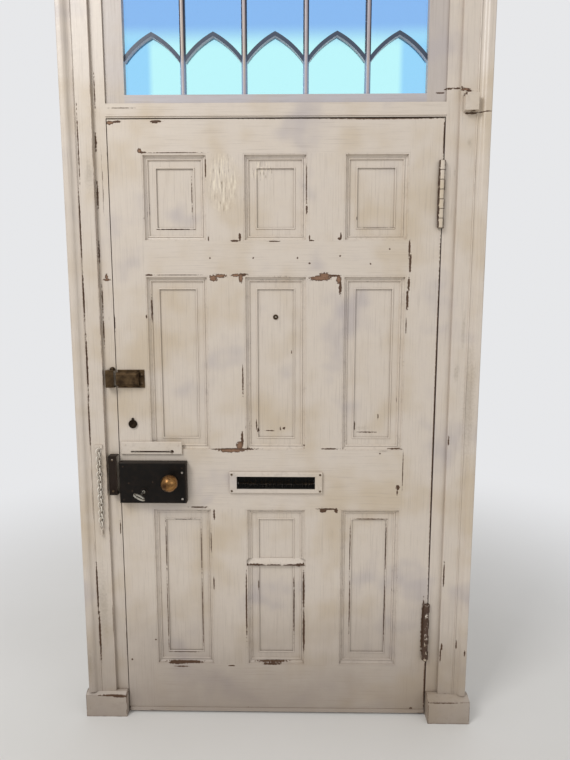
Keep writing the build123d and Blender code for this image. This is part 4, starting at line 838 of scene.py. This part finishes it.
def head_centres(node):
    """The middle of each separate screw head in a node, on the surface that it stands on."""
    groups = {}
    for vertex in nodes[node].data.vertices:
        key = (round(vertex.co.x / HEAD_ROOM), round(vertex.co.z / HEAD_ROOM))
        near = next((k for k in groups if abs(k[0] - key[0]) <= 1 and abs(k[1] - key[1]) <= 1), key)
        groups.setdefault(near, []).append(vertex.co.copy())
    centres = []
    for found in groups.values():
        low = Vector([min(co[i] for co in found) for i in range(3)])
        high = Vector([max(co[i] for co in found) for i in range(3)])
        centres.append(((low.x + high.x) / 2, high.y - OFF_FACE, (low.z + high.z) / 2))
    return centres


screws = screw_tree(screw_metal)
for name, node, body in (("Leaf_screws", "leaf_screws", "leaf"), ("Frame_screws", "frame_screws", "frame")):
    piece = grow(name, screws, head_centres(node), {"Seed": 5})
    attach(piece, body)
    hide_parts(node)

# %% [markdown]
# The rim lock's case is held together by rivets. They could be part of the solids, but they are
# small and low, so a ball of a few rows, pressed flat and half sunk in the case, is enough.

# %% Rivets on the lock case
def rivet_tree(material):
    tree, given = start_tree("Rivets", {"Radius": 0.0028, "Height": 0.0012})
    ball = put(tree, "GeometryNodeMeshUVSphere", {"Segments": 16, "Rings": 8, "Radius": given["Radius"]})
    flat = calc(tree, "DIVIDE", given["Height"], given["Radius"])
    low = shift(tree, ball.outputs[0], size=xyz(tree, x=1.0, y=flat, z=1.0))
    return end_tree(tree, copies(tree, given["Points"], low), material)


BEHIND_FRONT = 0.002    # the case's flat face lies this far behind its foremost point
case_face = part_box("rim_lock_case")[0].y + BEHIND_FRONT
rivet_places = [(-498, 872), (-416, 876), (-486, 845), (-316, 925), (-516, 814), (-516, 930), (-318, 814)]
points = [(x / 1000, case_face, z / 1000) for x, z in rivet_places]
rivets = grow("Lock_rivets", rivet_tree(lock_iron), points, {})
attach(rivets, "leaf")

# %% [markdown]
# The chain hangs from its staple under the same old paint. Each link could be modelled and
# placed by hand, but a chain is one link at a steady pitch, turned a quarter turn each time. The
# link is a rounded rectangle with a round wire swept along it, and chance swings each a little.

# %% The door chain
LINK_LENGTH = 0.0179


def chain_tree(material):
    sizes = {"Count": 20, "Pitch": 0.0135, "Length": LINK_LENGTH, "Width": 0.0158, "Wire": 0.0023,
             "Twist": 0.8, "Swing": 0.12, "Seed": 4}
    tree, given = start_tree("Hanging chain", sizes)
    box = put(tree, "GeometryNodeCurvePrimitiveQuadrilateral",
              {"Width": given["Width"], "Height": given["Length"]})
    bend = times(tree, given["Width"], 0.49)    # nearly half of it, so the link's ends are round
    rounded = put(tree, "GeometryNodeFilletCurve",
                  {"Curve": box.outputs[0], "Count": 6, "Radius": bend}, mode="POLY")
    wire = put(tree, "GeometryNodeCurvePrimitiveCircle", {"Resolution": 10, "Radius": given["Wire"]})
    link = put(tree, "GeometryNodeCurveToMesh",
               {"Curve": rounded.outputs[0], "Profile Curve": wire.outputs[0]})
    upright = shift(tree, link.outputs[0], turn=(math.pi / 2, 0.0, 0.0))
    index = put(tree, "GeometryNodeInputIndex").outputs[0]
    quarter = times(tree, calc(tree, "MODULO", index, 2.0), math.pi / 2)
    swing = chance(tree, times(tree, given["Swing"], -1.0), given["Swing"], given["Seed"])
    # the chain hangs twisted, so no link is seen square on or edge on
    turn = xyz(tree, z=plus(tree, plus(tree, quarter, swing), given["Twist"]))
    step = xyz(tree, z=times(tree, given["Pitch"], -1.0))
    line = put(tree, "GeometryNodeMeshLine", {"Count": given["Count"], "Offset": step})
    links = copies(tree, line.outputs[0], upright, turn)
    return end_tree(tree, copies(tree, given["Points"], links), material)


low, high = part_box("door_chain")
TOP_GAP = 0.0017    # above the first link
top_link = ((low.x + high.x) / 2, (low.y + high.y) / 2, high.z - LINK_LENGTH / 2 - TOP_GAP)
# full corner darkening: dirt, and painted shade between the links
chain_paint = paint("chain", "any", wear=0.3, grain=160.0, reach=0.0015, tone=rgb(226, 219, 207),
                    corners=1.0)
chain = grow("Door_chain_links", chain_tree(chain_paint), [top_link], {"Length": LINK_LENGTH})
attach(chain, "frame")
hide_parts("door_chain")

# %% [markdown]
# The letter slot is closed by two combs of bristle that meet in its middle. A hair system would
# be the other way to make them, but it doesn't export. Each bristle is a thin cone on a point,
# with few faces because there are hundreds, and chance gives it its length and lean.

# %% The tree for a comb of bristles
def bristle_material():
    material, tree, shader, place = start_material("Bristle")
    fine = noise(tree, place, 900.0, 2.0)
    fill(tree, shader, {
        "Base Color": mix(tree, fine, rgb(7, 6, 6), rgb(18, 16, 14)),
        "Specular IOR Level": 0.12,
        "Roughness": plus(tree, 0.5, times(tree, fine, 0.3))})
    return material


def bristle_tree(material):
    sizes = {"Length": 0.02, "Thickness": 0.0007, "Lean": 0.05, "Up": 1.0, "Seed": 8}
    tree, given = start_tree("Bristles", sizes)
    hair = put(tree, "GeometryNodeMeshCone",
               {"Vertices": 5, "Radius Bottom": given["Thickness"],
                "Radius Top": times(tree, given["Thickness"], 0.4), "Depth": given["Length"]})
    lean = chance(tree, times(tree, given["Lean"], -1.0), given["Lean"], given["Seed"])
    # the comb that hangs has an Up of -1, which turns each of its bristles upside down
    turn = xyz(tree, x=times(tree, minus(tree, 1.0, given["Up"]), math.pi / 2), y=lean)
    size = xyz(tree, x=1.0, y=1.0, z=chance(tree, 0.88, 1.0, given["Seed"]))
    return end_tree(tree, copies(tree, given["Points"], hair.outputs[0], turn, size), material)


# %% Bristles in the letter slot
GAPS = 240          # from one bristle to the next, along the slot
OVERLAP = 0.001     # past the middle, so that the combs meet
END = 0.001         # from the brushes' ends to the first and last bristles
ROW = 0.0012        # from the brushes' two faces to the two rows
low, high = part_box("letter_brushes")
reach = (high.z - low.z) / 2 + OVERLAP
run = high.x - low.x - 2 * END
bristles = bristle_tree(bristle_material())
for name, root, up in (("Lower_comb", low.z, 1.0), ("Upper_comb", high.z, -1.0)):
    points = [(low.x + END + i * run / GAPS, y, root)
              for i in range(GAPS + 1) for y in (low.y + ROW, high.y - ROW)]
    comb = grow(name, bristles, points, {"Length": reach, "Up": up})
    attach(comb, "leaf")
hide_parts("letter_brushes")

# %% [markdown]
# The studio is a pale floor in a pale world, with one broad lamp above on the left, as in the
# photograph, and a weak one on the right. A white backdrop could be lit until it glows, but that
# light would fall on the door too. So only the camera, glass and reflections see the bright
# background, and it adds no light.

# %% Floor
BACKGROUND = (0.8, 0.805, 0.82, 1.0)
WHITE = (1.0, 1.0, 1.0, 1.0)
SIDE = 14.0
HAZE = 0.7, 3.4     # where it starts and where it hides the floor, from the middle of the doorway


def pale_floor():
    mesh = bpy.data.meshes.new("Floor")
    corners = [(-SIDE, -SIDE, 0), (SIDE, -SIDE, 0), (SIDE, SIDE, 0), (-SIDE, SIDE, 0)]
    mesh.from_pydata(corners, [], [(0, 1, 2, 3)])
    floor = bpy.data.objects.new("Floor", mesh)
    bpy.context.scene.collection.objects.link(floor)
    material, tree, shader, place = start_material("Pale floor")
    shade = mix(tree, noise(tree, place, 2.0), rgb(214, 212, 208), rgb(222, 220, 217))
    fill(tree, shader, {"Base Color": shade, "Roughness": 0.8})
    # far off, the floor shows the camera the same tone as the world, so no hard line is left
    rays = put(tree, "ShaderNodeLightPath").outputs
    faded = times(tree, ramp(tree, vector(tree, "LENGTH", place), *HAZE), rays["Is Camera Ray"])
    haze = put(tree, "ShaderNodeEmission", {"Color": BACKGROUND})
    blended = put(tree, "ShaderNodeMixShader", {0: faded, 1: shader.outputs[0], 2: haze.outputs[0]})
    fill(tree, find(tree, "ShaderNodeOutputMaterial"), {"Surface": blended.outputs[0]})
    mesh.materials.append(material)
    print("floor", SIDE * 2, "m square")


pale_floor()

# %% World and lamps
def pale_world():
    world = bpy.data.worlds.new("Pale room")
    bpy.context.scene.world = world
    world.use_nodes = True
    tree = world.node_tree
    tree.nodes.clear()
    rays = put(tree, "ShaderNodeLightPath").outputs
    seen = calc(tree, "MAXIMUM", rays["Is Camera Ray"], rays["Is Transmission Ray"])
    seen = calc(tree, "MAXIMUM", seen, times(tree, rays["Is Glossy Ray"], 0.5))
    colour = mix(tree, seen, (0.62, 0.62, 0.62, 1.0), BACKGROUND)
    # through glass the room behind shows at full white, so the daylight painted into the glass's colour is
    # what shows
    colour = mix(tree, rays["Is Transmission Ray"], colour, WHITE)
    light = put(tree, "ShaderNodeBackground", {"Color": colour, "Strength": 1.0})
    put(tree, "ShaderNodeOutputWorld", {"Surface": light.outputs[0]})


def lamp(name, place, aim, size, power):
    light = bpy.data.lights.new(name, "AREA")
    light.shape = "SQUARE"
    light.size = size
    light.energy = power
    holder = bpy.data.objects.new(name, light)
    holder.location = place
    holder.rotation_euler = (Vector(aim) - Vector(place)).to_track_quat("-Z", "Y").to_euler()
    bpy.context.scene.collection.objects.link(holder)
    print(name, "lamp", size, "m wide", power, "W")


pale_world()
lamp("Key", place=(-2.2, -2.6, 4.2), aim=(0.0, 0.0, 1.5), size=1.6, power=95)
lamp("Fill", place=(3.0, -3.0, 1.8), aim=(0.0, 0.0, 1.1), size=2.4, power=18)
bpy.context.scene.view_settings.view_transform = "Standard"

# %% [markdown]
# The camera stands where the photograph was taken from. It could be placed by eye, but the
# leaf's corners and the panels' joints are known points, and fitting them to the photograph
# gives its place, its lens and its tilt. It is 1.77 m from the door, a little above its middle.

# %% Camera
PHOTO_HEIGHT = 760.0     # pixels
FOCAL_LENGTH = 532.9     # in the same pixels
TIPPED_DOWN = 0.1275     # radians, about 7 degrees
ROLL = 0.0139
camera = bpy.data.objects.new("Camera", bpy.data.cameras.new("Camera"))
camera.data.sensor_width = 36.0
camera.data.lens = FOCAL_LENGTH * camera.data.sensor_width / PHOTO_HEIGHT
camera.data.clip_start = 0.01
camera.location = (0.0559, -1.7692, 1.4488)
camera.rotation_euler = (math.pi / 2 - TIPPED_DOWN, 0.0, ROLL)
bpy.context.scene.collection.objects.link(camera)
bpy.context.scene.camera = camera
print("lens", round(camera.data.lens, 2), "mm")
